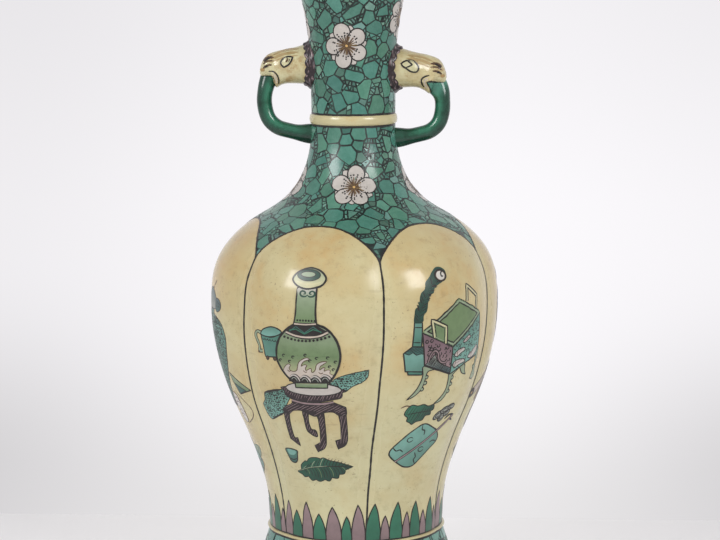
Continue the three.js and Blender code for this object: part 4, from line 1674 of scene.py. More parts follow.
# The antiques on the front left panel.
def bottle_vase(brush):
    """A long-necked bottle with a rolled rim, its belly painted with foam and waves."""
    neck = [(-4.6, 149.6), (-5, 143), (-5.2, 136), (-6.2, 129.4), (-6.2, 129.4), (6.8, 129.8),
            (6.8, 129.8), (6, 136), (6, 143), (6.1, 149.8), (6.1, 149.8), (-4.6, 149.6)]
    left = [(-6, 129.9), (-8.6, 128.4), (-11.6, 125.9), (-14.9, 121.9), (-16.7, 116.6),
            (-16.9, 112.4), (-16.1, 108.6), (-13.4, 104), (-9.9, 100), (-5.8, 96.9)]
    right = [(13.3, 97.8), (16.3, 101.7), (18.6, 106.4), (19.7, 110.7), (19.8, 115),
            (18.3, 120.6), (15.2, 125.4), (11.3, 128.7), (6.8, 130.3)]
    brush.fill([(-5.8, 97.4), (12.8, 98.2), (12.6, 94.8), (-5.4, 94.2)], "celadon", 0.8,
            shade="apple", sharp=True)
    brush.fill([(-16.9, 112.4), (-16.9, 112.4), *left[4::-1], *right[:3:-1], (19.8, 112.6),
            (19.8, 112.6)], "celadon", shade="apple")
    brush.fill([(-16.9, 112.6), (-16.9, 112.6), *left[6:], *right[:3], (19.8, 112.8),
            (19.8, 112.8)], "apple", shade="pale")
    foam(brush)
    for u, v in [(12, 100), (6.4, 99.3), (0.6, 99.2), (-5.6, 99.4)]:
        wave_scale(brush.at(u, v, scale=1.1))
    brush.line(left, 1.15, taper=1)
    brush.line(right, 1.25, taper=1)
    brush.line([(-5.8, 97.2), (13.2, 98)], 0.9, taper=1)
    marks = [(-14.2, 109.6), (-12.2, 112.4), (-6.4, 111.8), (-8.4, 109.3), (0.7, 113.3),
            (3.4, 110.2), (7.2, 111.8), (13.2, 112.2), (17.4, 110), (14.2, 107.2), (16.2, 105.6)]
    for u, v in marks:
        brush.line(oval(u, v, 0.9, 0.62, 6, 20, 290), 0.65)
    shoulder = [(-6.2, 129.6), (-6.2, 129.6), (-10.2, 127.2), (-10.6, 125.6), (-5.4, 124.2),
            (1.3, 123.6), (8, 124.6), (12.6, 126.8), (12.6, 126.8), (6.8, 129.8), (6.8, 129.8)]
    brush.fill(shoulder, "ink")
    for fall in (0, 1.4):
        chevrons = [(-8.6, 126 + fall * 0.5), (-4.8, 128.9 - fall), (-4.8, 128.9 - fall),
                (0.2, 125.6 - fall * 0.4), (0.2, 125.6 - fall * 0.4), (5, 129.1 - fall),
                (5, 129.1 - fall), (9.6, 126 + fall * 0.3)]
        brush.line(chevrons, 0.5, "leaf" if fall else "teal", taper=1, sharp=True)
    brush.band([(-10.7, 125.6), (-5.1, 123.9), (1.3, 123.3), (8.1, 124.1), (13.1, 126.3)], 0.9,
            "blush", 0.6)
    for i in range(13):
        u = -11.6 + 2.12 * i
        brush.dot(u, 121.2 + 0.0135 * (u - 1) ** 2 + 0.04 * u, 0.72, "ink")
    brush.fill(neck, "celadon", 0.9, shade="apple")
    brush.fill([(-4, 149.6), (-4.4, 146), (-4.4, 146), (-1, 144.8), (1, 145.2), (3, 144.8),
            (5.6, 146), (5.6, 146), (5.6, 149.8), (5.6, 149.8)], "petal", shade="celadon")
    for side in (-1, 1):
        cloud = brush.at(1.2, 145.2, flip=side < 0)
        cloud.line([(0, 0.9), (0.9, 0), (2.8, 0), (4, 0.9), (3.9, 2.3), (2.6, 2.9), (1.4, 2.3),
                (1.3, 1.4), (2.3, 1.2)], 1.0, "bottle")
    for i in range(7):
        brush.dot(-4 + 1.62 * i, 132.3, 0.62, "ink")
    brush.band([(-5.9, 130.3), (0.5, 130.2), (6.5, 130.7)], 0.7, "blush", 0.5)
    lip = brush.at(1.4, 155)
    lip.fill([(-9.2, -1.1), (-8.3, 1.3), (-6, 3.6), (-1, 5.7), (3, 5.4), (6.6, 3.6), (9, 0.8),
            (9, -1.4), (6.7, -4), (1.2, -5.6), (-3, -5.5), (-7, -3.8)], "celadon", 1.0,
            shade="pale")
    # A pale crescent on the lip's lower part: a painted highlight.
    lip.fill([(-7.4, -1.9), (-3.4, -3.4), (1.2, -3.8), (5.8, -2.8), (7.6, -1), (5.2, -2.2),
            (0.6, -2.6), (-4, -2.1)], "pale")
    lip.fill(oval(-0.4, 1.7, 6.4, 3.2), "bottle", 0.5)
    lip.fill(oval(-0.7, 2.1, 4.1, 1.6), "celadon", 0.5)


def foam(brush):
    """Licks of foam thrown up by the waves on the bottle."""
    licks = [[(-12.8, 103.6), (-11.7, 105.9), (-9.6, 107.7), (-7.9, 107), (-8.9, 105.8),
            (-8.4, 104.3), (-6.4, 103.6), (-4.4, 104.4), (-3.9, 106.4), (-3.1, 109.1),
            (-1, 110.9), (1.4, 111.9), (3.1, 111.1), (0.6, 110.1), (-0.9, 108.9), (-1.7, 106.9),
            (0, 107.9), (1.6, 107.6), (0.8, 106.2), (0.9, 104.6), (2.4, 105.4), (3.9, 106),
            (4.1, 104), (5, 103.8), (6.3, 105.4), (7, 108.2), (9.6, 109.9), (12.6, 110.1),
            (10.8, 108.6), (9, 107.2), (8.7, 105.2), (10, 106.4), (11.6, 106.7), (11, 104.6),
            (12.6, 105.4), (14.4, 105.2), (14.2, 103.4), (16.2, 102.4)], [(-10, 104.2),
            (-8.9, 103.5), (-8, 103.9)], [(-0.6, 104.6), (0.6, 103.6), (1.6, 104)], [(8, 104),
            (9.2, 103.1), (10.4, 103.7)]]
    edge = [*licks[0], (16.2, 102.4), (13, 98), (13, 98), (-6, 97.4), (-6, 97.4), (-12.8, 103.6)]
    brush.fill(edge, "petal", shade="blush")
    for lick in licks:
        brush.line(lick, 0.5, "brown", taper=0.8)


def wave_scale(brush):
    """One dark wave with its pale crests, rolling to the right."""
    brush.fill([(-3.4, -1.6), (-2.8, 1), (-1.2, 2.5), (0.8, 2.4), (2.6, 0.9), (3.4, -1.4),
            (3.4, -1.4), (-3.4, -1.6)], "ink")
    brush.line([(-2.8, 0.6), (-1.3, 1.9), (0.5, 1.7), (1.9, 0.4), (2.6, -1.2)], 0.8, "petal")
    brush.line([(-2, -0.6), (-1, 0.6), (0.2, 0.5), (1, -0.5), (1.3, -1.2)], 0.5, "grey")


def handled_cup(brush):
    """A small two-footed cup with a curled handle, behind the bottle."""
    body = [(-27.8, 122.6), (-26.6, 117), (-25, 110.4), (-25, 110.4), (-15.6, 110.8),
            (-15.6, 110.8), (-14.4, 118), (-14, 124), (-14, 124), (-21, 121.6)]
    brush.band([(-27.8, 123.2), (-31, 124), (-32.8, 122.3), (-32, 120), (-30.4, 117.6),
            (-29.4, 115.4), (-29.8, 113.2), (-27, 113.4)], 1.2, "celadon", 0.5)
    brush.dot(-30.2, 112.6, 0.8, "brown")
    brush.fill(body, "turquoise", 0.75, shade="pool", turn=-120)
    brush.fill([(-28.4, 123), (-26.4, 125.6), (-21, 127.4), (-16.4, 126.8), (-13.6, 124.8),
            (-17, 122.8), (-21.6, 121.8), (-26, 122)], "pool", 0.7, shade="sky")
    for i in range(7):
        brush.line(oval(-26 + 1.85 * i, 120.9 - 0.1 * i, 0.9, 1.1, 5, 180, 360), 0.45)
    for u in (-23.4, -18.2):
        brush.dot(u, 109.8, 1.05, "brown", 0.5)


LEGS = [[(-2.6, 80), (-2.3, 74.5), (-1.5, 67.6), (0.4, 65.2), (2.2, 63.9), (4.2, 63.6),
        (4.2, 66.4), (3.4, 68), (1.2, 68.6), (0.3, 73.6), (0.8, 80), (0.8, 80)], [(-14.4, 80),
        (-14.2, 69.8), (-13, 60.7), (-13, 60.7), (-7, 56.5), (-7, 56.5), (-8, 61.8), (-8, 61.8),
        (-10.2, 62.4), (-11.4, 72.3), (-10.8, 80), (-10.8, 80)], [(4.8, 80), (5.9, 75.1),
        (6.1, 67.5), (5.5, 59.9), (5.5, 59.9), (1.9, 57.6), (1.9, 57.6), (3.3, 53.4), (3.3, 53.4),
        (8.4, 58.2), (9.5, 74.2), (9.5, 80), (9.5, 80)], [(17.6, 81), (17.9, 72), (17.2, 62.4),
        (17.2, 62.4), (14, 61.3), (14, 61.3), (14.9, 55.7), (14.9, 55.7), (20.5, 61.3),
        (21.8, 83), (21.8, 83)]]
APRON = [(-8.6, 86), (-8.9, 84), (-13.8, 81.3), (-15.1, 78.9), (-11.2, 77.4), (-8.3, 79.6),
        (-3.2, 80.1), (0.5, 78.4), (4.7, 77), (9.6, 79.5), (14.6, 80), (17.6, 78), (21.6, 78.4),
        (21.9, 83), (21.9, 83), (15.4, 86), (15.4, 86), (4, 84.4), (-8.6, 86)]
STAND_RIM = [(-12.8, 94), (-12.9, 91.4), (-12.3, 89.2), (-8.2, 86.8), (-3, 86), (4, 85.8),
        (9, 86.3), (15.1, 87.7), (19.7, 89), (20.4, 92), (20.2, 94)]


def round_stand(brush):
    """A round stand with a white top and cabriole legs."""
    for index, shape in enumerate(LEGS + [APRON, STAND_RIM]):
        brush.fill(shape, "aubergine", 0.5)
        hatch(brush, shape, 1.3, (70, 60, 62, 75, 30, 62)[index], 0.27, tone("mauve", 0.8), 0.3)
    brush.band([(-8.4, 86.2), (-2, 85), (4.4, 84.8), (10.6, 85.2), (15.4, 86.4)], 1.0, "mauve",
            0.35)
    brush.fill(oval(4.2, 93.7, 15.8, 3.8, 16), "petal", 0.6)


def brocade_rolls(brush):
    """Rolls of brocade behind the stand."""
    left = [(-27.8, 88.5), (-22, 90.4), (-15.6, 91.9), (-12, 92.6), (-9.4, 88.6), (-11.4, 84.4),
            (-13.4, 80.6), (-14.6, 77.4), (-19.6, 74.6), (-24.8, 71.6), (-24.8, 71.6), (-28, 74),
            (-31.3, 80.6), (-31.3, 80.6), (-28.8, 83.8), (-28.6, 86.6)]
    right = [(12.4, 95), (14.6, 98.4), (18, 100.7), (22, 102.2), (27.6, 103.6), (35.4, 105),
            (35.4, 105), (34.6, 100.8), (31.4, 98), (26, 95.6), (22.1, 92.6), (19, 92.8)]
    for shape in (left, right):
        brush.fill(shape, "pool", 0.5, shade="sky", turn=-70)
        speckles(brush, shape, 1.6, 0.42, "ink")
        curls(brush, shape, 2.6, 0.36)
    brush.line([(-28.4, 88.3), (-22, 90.3), (-15.6, 91.7)], 1.3)
    brush.line([(-24.8, 71.6), (-19.6, 74.6), (-14.6, 77.4)], 1.2)


def small_cup(brush):
    cup = [(-18.2, 53), (-14, 53.6), (-9.8, 52.8), (-10, 50.6), (-10.6, 46.6), (-12.4, 44.8),
            (-15.2, 45.6), (-17, 49.4)]
    brush.fill(cup, "turquoise", 0.75, shade="teal")
    brush.fill([(-16.8, 52.9), (-13.8, 53.1), (-10.8, 52.4), (-12, 50), (-15.6, 49.8)], "sky")
    brush.line([(-15.8, 47.4), (-13.2, 46.6), (-10.8, 47.8)], 0.7)


def long_leaf(brush):
    """A pointed leaf with a scalloped edge and fine veins."""
    edge = [(-11.4, 39.3), (-8.7, 40.8), (-8.7, 40.8), (-8.6, 43.6), (-7.6, 45), (-7.6, 45),
            (-5.6, 46.8), (-4.4, 46.6), (-4.4, 46.6), (-2.6, 48.9), (1.3, 49.7), (4.1, 49.1),
            (4.1, 49.1), (5.8, 49.8), (9.2, 48.3), (14.6, 47.1), (21.8, 44.4), (21.8, 44.4),
            (17.4, 42.4), (17.4, 42.4), (16.4, 40), (13.6, 39.4), (13.6, 39.4), (12.6, 37),
            (9.3, 37.3), (9.3, 37.3), (7.6, 35), (5.2, 35.8), (5.2, 35.8), (2, 34.4),
            (-0.2, 35.4), (-0.2, 35.4), (-2.6, 34.6), (-4.6, 37), (-4.6, 37), (-7, 36.4),
            (-8.4, 37.8)]
    brush.fill(edge, "deep", 0.5, shade="bottle", turn=-60)
    rib = [(-11.2, 39.2), (-6.6, 41.2), (-1.4, 42.9), (7.3, 44.3), (14, 44.6), (21.6, 44.3)]
    for i in range(15):
        u = -7.4 + 1.75 * i
        v = 41.2 + 3.3 * math.sin(min((u + 9) / 20, 1) * math.pi / 2)
        rise = 5.6 * math.sin(math.pi * (i + 2.2) / 18)
        light = "celadon" if i % 3 == 0 and i < 9 else "ink"
        brush.line([(u, v), (u + 1.1, v + 0.55 * rise), (u + 2.6, v + rise)], 0.34, light)
        light = "apple" if i % 4 == 1 else "ink"
        brush.line([(u, v), (u + 1.6, v - 0.6 * rise), (u + 2, v - 1.25 * rise)], 0.34, light)
    brush.line(rib, 0.55, "ink")
    brush.line([(u, v + 0.3) for u, v in rib[:4]], 0.35, "celadon")


# The antiques on the front right panel.
def plume(brush):
    """A dark feather that curls over at its eye."""
    left = [(-24.2, 130), (-24.3, 134.6), (-23.8, 137.6), (-21.2, 139.4), (-21.3, 142.6),
            (-20.2, 145.8), (-17.6, 148), (-16.8, 151.4), (-13.6, 154.4), (-11.4, 156.9),
            (-8, 159.4), (-4.4, 158.9), (-2.4, 156.4)]
    right = [(-3.1, 153.8), (-5.6, 151.2), (-9.2, 149.6), (-11.8, 148.2), (-12.6, 145.4),
            (-14.9, 144.4), (-16.2, 141.6), (-16.9, 136.4), (-18.9, 133.6), (-19.3, 130.4)]
    brush.fill(left + right, "bottle", shade=tone("bottle", 0.7), turn=-110)
    chance = brush.chance
    stem = [(-21.8, 130.6), (-21, 136), (-18.8, 141.6), (-15.4, 147), (-11, 151.6)]
    spine = trace(stem, step=0.8)
    for place, ahead in zip(spine, spine[1:]):
        along = (ahead - place).normalized()
        for side in (1, -1):
            tilt = along.lerp(left_of(along) * side, 0.5).normalized()
            start = place + tilt * chance.uniform(0, 1.6)
            tip = place + tilt * chance.uniform(3, 4.4)
            ink = "ink" if chance.random() < 0.35 else "bottle"
            brush.line([tuple(start), tuple(start.lerp(tip, 0.5) + along * 0.2), tuple(tip)], 0.6,
                    ink, taper=0.3)
    brush.fill(oval(-6.5, 154.6, 4, 3.6), "ink")
    brush.fill(oval(-6.6, 154.5, 2.9, 2.6), "white", 0.3, "brown")
    brush.line([(-4.6, 157), (-6.1, 155.8), (-6, 154), (-4.9, 154.1)], 0.9)


def feather_pot(brush):
    """A tall square pot that holds the feather."""
    tube = [(-24.2, 130.2), (-19.6, 129.9), (-18.8, 116.6), (-24.2, 117)]
    brush.fill(tube, "pool", 0.8, shade="turquoise", sharp=True)
    for v in (127.6, 119.4):
        brush.line([(-23.8, v), (-19.6, v - 0.3)], 0.6)
    pot = [(-24.1, 117), (-28.7, 113.4), (-25.8, 103.2), (-14.6, 102), (-14.6, 116.4)]
    brush.fill(pot, "sky", 0.85, shade="pool", sharp=True)
    brush.fill([(-24.1, 117), (-28.2, 113.6), (-25.4, 112.6), (-23.4, 113.8), (-21, 112.2),
            (-18.4, 112.8), (-15.6, 112.2), (-15.6, 116.2)], "teal", 0.5, sharp=True)
    hatch(brush, [(-24, 116.4), (-26.4, 114.2), (-16, 113.2), (-16, 116)], 0.9, 20, 0.35)
    brush.fill([(-24.6, 103.2), (-15.6, 102.4), (-15.6, 100.6), (-23.8, 101.2)], "turquoise",
            0.75, sharp=True)


CENSER_LEGS = [([(-15.7, 105.4), (-14.9, 100.4), (-15.5, 95.4), (-17.3, 90.9), (-20.9, 86),
        (-20.9, 86), (-16.9, 88.2), (-14, 91.6), (-13, 95.4), (-12.8, 100), (-11.9, 102.4),
        (-8, 103.2), (-8, 104.6)], [(-13.4, 92), (-12.4, 95.6), (-12.4, 99)]), ([(3, 100.8),
        (3.4, 94.6), (3.1, 89.5), (0.9, 85.5), (-3, 81.6), (-3, 81.6), (1.9, 83.4), (4.6, 87.2),
        (5.4, 91), (5.5, 95), (6, 98.2), (9.8, 101.4), (9.8, 102.4)], [(5.4, 88.6), (6, 92.8),
        (6, 96.6)]), ([(10.6, 103), (12.4, 99.6), (14.4, 97.8), (18, 96.8), (18, 96.8),
        (16.2, 99.4), (14.9, 103)], []), ([(26.2, 110), (26.6, 102), (26.2, 97.8), (25.2, 93.6),
        (27, 92.4), (29.4, 92.8), (31, 94.8), (28.9, 97.8), (28.6, 102), (28.9, 110)], [(26, 100),
        (28.6, 96)])]


def censer(brush):
    """A rectangular bronze censer on four scrolled legs, seen from above one corner."""
    top = [(-19.3, 124.8), (4.9, 140.9), (25.8, 130.9), (2.1, 114.6)]
    front = [(-19.2, 124.4), (2.1, 114.4), (3.4, 99), (-15.2, 105.8)]
    side = [(2.1, 114.4), (25.6, 130.6), (27.6, 111.4), (26.4, 107), (14, 103.6), (3.4, 98.9)]
    loops = [[(11.6, 138.6), (12.1, 147.2), (12.1, 147.2), (21.4, 140.6), (21.4, 140.6),
            (20.8, 133.4)], [(-11.4, 121.2), (-13.6, 130.6), (-13.6, 130.6), (-4.3, 126.4),
            (-4.3, 126.4), (-3.5, 117.2)]]
    brush.band(loops[0], 0.9, "pale", 0.8)
    for leg, knobs in CENSER_LEGS:
        for u, v in knobs:
            brush.dot(u, v, 1.1, "celadon", 0.6)
        brush.fill(leg, "celadon", 0.65)
        for u, v in knobs:
            brush.dot(u, v, 0.7, "celadon")
    brush.fill(side, "pool", 0.85, shade="sky", turn=-60, sharp=True)
    brush.fill(front, "mauve", 0.85, shade="plum", turn=80, sharp=True)
    curls(brush, side, 2.5, 0.5, sharp=True)
    dragon = [[(4.4, 109.6), (6.2, 112), (11.2, 113.2), (12.6, 111.6), (9.1, 110.1),
            (6.9, 108.6)], [(4.4, 104.2), (6, 106.4), (12.5, 106.6), (14, 104.8), (9.1, 103.6),
            (6.1, 102.3)], [(16.3, 107.3), (20.1, 109.4), (24.8, 112.8), (26, 110.4),
            (23.6, 107.6), (19.6, 106)], [(10, 116.4), (14, 119.4), (16.6, 118.8), (13, 116.2)]]
    for shape in dragon:
        brush.fill(shape, "petal", 0.6)
        brush.line([shape[0], shape[2]], 0.45, "mauve")
        brush.line([shape[-1], shape[1]], 0.35, "brown")
    face = [(-18, 122.6), (1.2, 113.6), (2.4, 103.8), (-14.8, 108.2)]
    for u, v in inside_places(brush, face, 2.7, 0.8, True):
        brush.line(oval(u, v, 0.95, 0.85, 7, brush.chance.uniform(0, 360), 420), 0.7)
    brush.fill([(-14.9, 106.2), (-11.9, 109.4), (-9.6, 111.6), (-7.6, 107.8), (-4.4, 105.7),
            (3, 102.6), (3.2, 99.6)], "grey", 0.5, shade="slate", sharp=True)
    hatch(brush, [(-13.6, 106.4), (-10, 110.2), (2.8, 101.8), (2.9, 99.8)], 0.85, 60, 0.4)
    brush.band([(-13.4, 107.8), (-12.4, 111.6), (-10.4, 113.8), (-8, 112.4), (-6.6, 108.6),
            (-4.6, 106.8), (-2, 106.4), (-0.6, 108)], 0.6, "mauve", 0.55)
    brush.fill(top, "apple", sharp=True)
    rim = [(-17.9, 124.7), (4.9, 139.7), (23.9, 130.9), (2.1, 116)]
    brush.band(rim + rim[:1], 0.9, "celadon", 0.85, sharp=True)
    brush.fill([(-12, 122), (-13.2, 129.6), (-4.8, 126), (-4, 118.4)], "apple", sharp=True)
    brush.band(loops[1], 0.9, "pale", 0.85)
    brush.line([(2.1, 114.5), (3.3, 99.2)], 0.95)


def dark_leaf(brush):
    """A blunt dark leaf on its stem."""
    edge = [(-19.2, 76.9), (-18.8, 80.2), (-16.4, 82.6), (-12.6, 81.8), (-9.2, 82.4), (-5.8, 81),
            (-2.4, 81.6), (-1.6, 78.6), (-3.2, 77.6), (-2.8, 75.4), (-5.8, 75), (-7.2, 72.4),
            (-10.6, 71.8), (-12.8, 70.2), (-14.4, 71.4), (-16.6, 72.6), (-16.8, 74.8)]
    brush.line([(-22.6, 81.2), (-19.6, 82.4), (-15.6, 81.2)], 0.8, "brown")
    brush.fill(edge, "leaf", 0.6, shade="bottle", turn=-30)
    hatch(brush, edge, 1.6, 72, 0.36, "ink", 0.3)
    brush.line([(-18, 77), (-11, 77.6), (-3.4, 78)], 0.5)


def fan(brush):
    """A fan with a cracked face, its rod tied through a dark knot."""
    edge = [(-20.2, 51.9), (-19.2, 55.6), (-13, 63.4), (-9, 67), (-5.8, 69.2), (-2.6, 69.2),
            (2.2, 66.6), (6.6, 63.6), (9.2, 59.4), (8.8, 56), (5.6, 52.6), (1, 47.4),
            (-2.6, 43.4), (-5.6, 42.2), (-10, 43), (-15, 46.4), (-18.6, 49.4)]
    brush.fill(edge, "sky", 0.85, shade="pool", turn=-50)
    cracks = [[(-19, 55.6), (-16.6, 53.4), (-14.6, 54), (-12.4, 52.4)], [(-2.4, 43.6), (-4, 46.6),
            (-3.2, 48.2), (-4.6, 51.2)], [(-5.2, 69), (-4.6, 66), (-2.6, 65), (-2, 62)],
            [(8.8, 56.6), (5.8, 57.4), (3.8, 56.4)]]
    for crack in cracks:
        brush.line(crack, 0.75, taper=0.6)
    for u, v in [(-10.2, 60), (-1, 52.8)]:
        brush.line(oval(u, v, 1.8, 1.5, 8, 30, 350), 0.65)
    lobes = [(3.4, 74, 3.4, 1.9, 40), (8, 76.6, 3.4, 1.9, 20), (12.6, 78, 2.8, 1.6, 10),
            (6.4, 72.2, 2.6, 1.8, 60), (10, 74.4, 2.6, 1.5, 30)]
    for u, v, across, along, turn in lobes:
        knot = brush.at(u, v, turn)
        knot.fill(oval(0, 0, across, along), "grey", 0.85)
        knot.line(oval(0, 0, 0.55 * across, 0.5 * along, 6, 20, 280), 0.6)
    for knot in ([(10, 70.4), (13.4, 72.6), (17.8, 72)], [(12.4, 67.6), (14.6, 69.8), (18, 68.4)]):
        brush.line(knot, 1.3)
    brush.band([(-15.4, 46.4), (1, 59), (17.2, 72)], 0.8, "mauve", 0.45)


# The antiques on the panel left of them, of which the photograph shows the right edge.
def tall_jar(brush):
    """A tall jar covered with small curls, a bird's tail and a twig over its mouth."""
    half = [(5, 130), (6.2, 127.4), (12.6, 125.6), (18.4, 122.6), (21.6, 116.6), (20.8, 110),
            (18.4, 101.6), (14.6, 92.6), (11, 84), (9.6, 76), (9.6, 76)]
    body = [(5, 130), *half] + [(-u, v) for u, v in reversed(half)] + [(-5, 130)]
    brush.line([(3.4, 139), (6, 143.4), (9.6, 147)], 0.8, "brown")
    brush.fill([(-4.6, 131), (-5.4, 137), (0, 142), (6, 140.6), (10.6, 136.6), (11, 131)],
            "slate", 0.6, shade="grey")
    brush.fill([(10, 136.2), (14.4, 136.8), (17.6, 134.6), (17.2, 131.6), (13.4, 129.6),
            (10, 130.4)], "slate", 0.6, shade="teal")
    curls(brush, [(10, 136.2), (17.6, 134.6), (17.2, 131.6), (10, 130.4)], 1.7, 0.4)
    brush.fill(body, "pool", 0.8, shade="turquoise")
    curls(brush, body, 2.0, 0.5)
    speckles(brush, body, 2.9, 0.5, "ink")
    brush.fill([(-11, 76.6), (11, 76.6), (12.4, 73.4), (-12.4, 73.4)], "aubergine", 0.5,
            sharp=True)


def book(brush):
    """A green book lying open-edged."""
    brush.fill([(17, 95.4), (34.8, 87.2), (23, 83.2), (19.4, 89.9)], "celadon", 0.6,
            shade="apple", sharp=True)
    brush.fill([(20, 89.6), (30.4, 86.2), (23, 83.5)], "teal", 0.45, sharp=True)


def ribboned_ring(brush):
    """A pale ring on a thin ribbon."""
    brush.line([(17, 84), (24.2, 78.9), (28.3, 74.2), (26, 69.4), (17.2, 63.8)], 0.6, "brown")
    brush.fill([(11.6, 82), (16.6, 81.2), (18.4, 74), (17.8, 65.6), (14, 65), (11, 72)], "white",
            0.5, "brown")
    for v in (79, 76.4, 71.6, 69):
        brush.line([(12, v), (15, v + 0.8), (17.6, v - 0.6)], 0.6, "plum")


def light_leaf(brush):
    edge = [(2, 38.4), (6.4, 39), (12, 42), (15.4, 46), (15, 49), (9, 48.6), (3.4, 45.6),
            (0.4, 41.6)]
    brush.fill(edge, "celadon", 0.5, "teal", shade="turquoise")
    brush.line([(2.4, 38.8), (8, 43), (14.4, 48)], 0.4, "teal")


def scroll_roll(brush):
    """A rolled picture tied with a tasselled cord."""
    brush.fill([(-14, 60), (10, 70), (12, 65), (-12, 55)], "mauve", 0.7, shade="blush", sharp=True)
    for u, v in ((-13, 57.5), (11, 67.5)):
        brush.dot(u, v, 2.6, "aubergine", 0.6)
        brush.dot(u, v, 1.1, "tan", 0.4)
    brush.line([(-3, 61), (-1.6, 64.2)], 1.0, "leaf")
    for u in (-1, 0, 1):
        brush.line([(-2, 59.6), (-3 + u, 55), (-3.6 + 1.6 * u, 50)], 0.5, "plum")


# What each panel shows: the antique, and where it isn't plain its place, turn and size there and
# whether it is turned about. The front left panel comes first, the others follow to the right.
PANELS = {
    "front_left": [(handled_cup,), (brocade_rolls,), (round_stand,), (bottle_vase,),
                   (small_cup,), (long_leaf,)],
    "front_right": [(feather_pot,), (plume,), (censer,), (dark_leaf,), (fan,)],
    "right": [(scroll_roll, -14, 26, 8), (round_stand, 0, 2, 0, 0.98, True),
              (tall_jar, 0, 26, 0, 0.9, True), (long_leaf, 2, 0, 0, 1, True), (small_cup, 26)],
    "back_right": [(plume, 0, 0, 0, 1, True), (feather_pot, 0, 0, 0, 1, True),
                   (censer, 0, 0, 0, 1, True), (scroll_roll, -2, 4, 0, 1.1), (dark_leaf, 0, -34)],
    "back_left": [(brocade_rolls, 2, 0, 0, 1, True), (round_stand,),
                  (handled_cup, -2, 0, 0, 1, True), (bottle_vase,), (long_leaf, 0, 0, 0, 1, True)],
    "left": [(tall_jar,), (book,), (ribboned_ring,), (light_leaf,), (fan, -4, -4, 0, 0.8, True)],
}


def panel_paintings(wall):
    """One painting of antiques on each panel."""
    for index, (name, antiques) in enumerate(PANELS.items()):
        painting = Painting(100 + index)
        chart = panel_chart(wall, wall.middles()[index])
        brush = painting.on(chart, 0.04)
        for antique, *placing in antiques:
            antique(brush.at(*placing))
        painting.finish(name + "_painting")


# The stage.
CAMERA_AZIMUTH = 4.0
CAMERA_DISTANCE = 1288
CAMERA_HEIGHT = 363.4
CAMERA_TILT = 8.02
CAMERA_ROLL = -0.37
LENS = 116
PICTURE_WIDTH = 720
AXIS_OFFSET_PIXELS = 5.6
WORLD_LIGHT = 0.42
BOX_POWER = 7.2
BOX_SIZE = (0.42, 0.52)
BOX_DISTANCE = 1.2
BELLY_HEIGHT = 0.18
# Grey of the paper's painted shade towards the backdrop's sides, and the pale that the room shows.
PAPER_SHADE = linear(210, 208, 210)
FLOOR_HEIGHT = -0.0002
FLOOR_DEPTH = 1.6


def camera():
    """The camera at the photograph's place, turned so that the vase stands left of the middle."""
    data = bpy.data.cameras.new("camera")
    data.sensor_width = 36
    data.lens = LENS
    pixels = LENS * PICTURE_WIDTH / data.sensor_width
    place = about_axis(CAMERA_AZIMUTH, CAMERA_DISTANCE * MM, CAMERA_HEIGHT * MM)
    heading = math.radians(CAMERA_AZIMUTH) - math.atan(AXIS_OFFSET_PIXELS / pixels)
    bpy.context.scene.camera = put("camera", data, (
        Matrix.Translation(place) @ Matrix.Rotation(heading, 4, "Z")
        @ Matrix.Rotation(math.radians(90 - CAMERA_TILT), 4, "X")
        @ Matrix.Rotation(math.radians(CAMERA_ROLL), 4, "Z")
    ))


def soft_box(name, azimuth, elevation):
    """A rectangular lamp that looks at the vase's belly."""
    data = bpy.data.lights.new(name, "AREA")
    data.shape = "RECTANGLE"
    data.size, data.size_y = BOX_SIZE
    data.energy = BOX_POWER
    rise = math.radians(elevation)
    out = about_axis(azimuth, math.cos(rise), math.sin(rise))
    place = Matrix.Translation(out * BOX_DISTANCE + Vector((0, 0, BELLY_HEIGHT)))
    put(name, data, place @ out.to_track_quat("Z", "Y").to_matrix().to_4x4())


def seen_directly(recipe):
    """1 for what the camera, a reflection or a clear surface sees, 0 for the light on the vase."""
    rays = [recipe.node("ShaderNodeLightPath", output=name) for name in
            ("Is Camera Ray", "Is Glossy Ray", "Is Transmission Ray")]
    return rays[0].math("MAXIMUM", rays[1]).math("MAXIMUM", rays[2])


def paper(name, light, share, lit):
    """Paper that looks as bright as it is painted, throws light on the vase, and is clear from
    behind."""
    recipe = Recipe(name)
    tree = recipe.tree
    # The paper glows for the camera and in reflections with its painted light and shade; it is no
    # lamp.
    glow = recipe.node("ShaderNodeEmission", values={"Color": light(recipe), "Strength": 1.0})
    plain = recipe.node("ShaderNodeBsdfDiffuse", values={"Color": lit})
    mixed = recipe.node("ShaderNodeMixShader", values={0: seen_directly(recipe) * share,
                                                       1: plain, 2: glow})
    behind = recipe.node("ShaderNodeNewGeometry", output="Backfacing")
    clear = recipe.node("ShaderNodeBsdfTransparent")
    mixed = recipe.node("ShaderNodeMixShader", values={0: behind, 1: mixed, 2: clear})
    tree.links.new(mixed.socket, tree.nodes["Material Output"].inputs["Surface"])
    tree.nodes.remove(tree.nodes["Principled BSDF"])
    return recipe.owner


def sideways(recipe, left, right):
    """How far a place lies off to either side, each side with its own strength."""
    side = recipe.node("ShaderNodeSeparateXYZ", values={0: recipe.place()}, output=0)
    return side.ramp(-0.05, -0.33) * left + side.ramp(0.06, 0.31) * right


def backdrop_light(recipe):
    """Painted light: brightest behind the belly, painted shade greyer towards floor, top and
    sides.
    """
    rise = recipe.height().math("POWER", 0.5)
    base = recipe.mix(rise.ramp(0.0, 0.3), linear(234, 232, 233), linear(252, 250, 253))
    base = recipe.mix(rise.ramp(0.38, 0.62), base, linear(242, 240, 243))
    high = rise.ramp(0.08, 0.36)
    share = sideways(recipe, 1 - high * 0.68, 1 - high * 0.84)
    return recipe.mix(share, base, PAPER_SHADE)


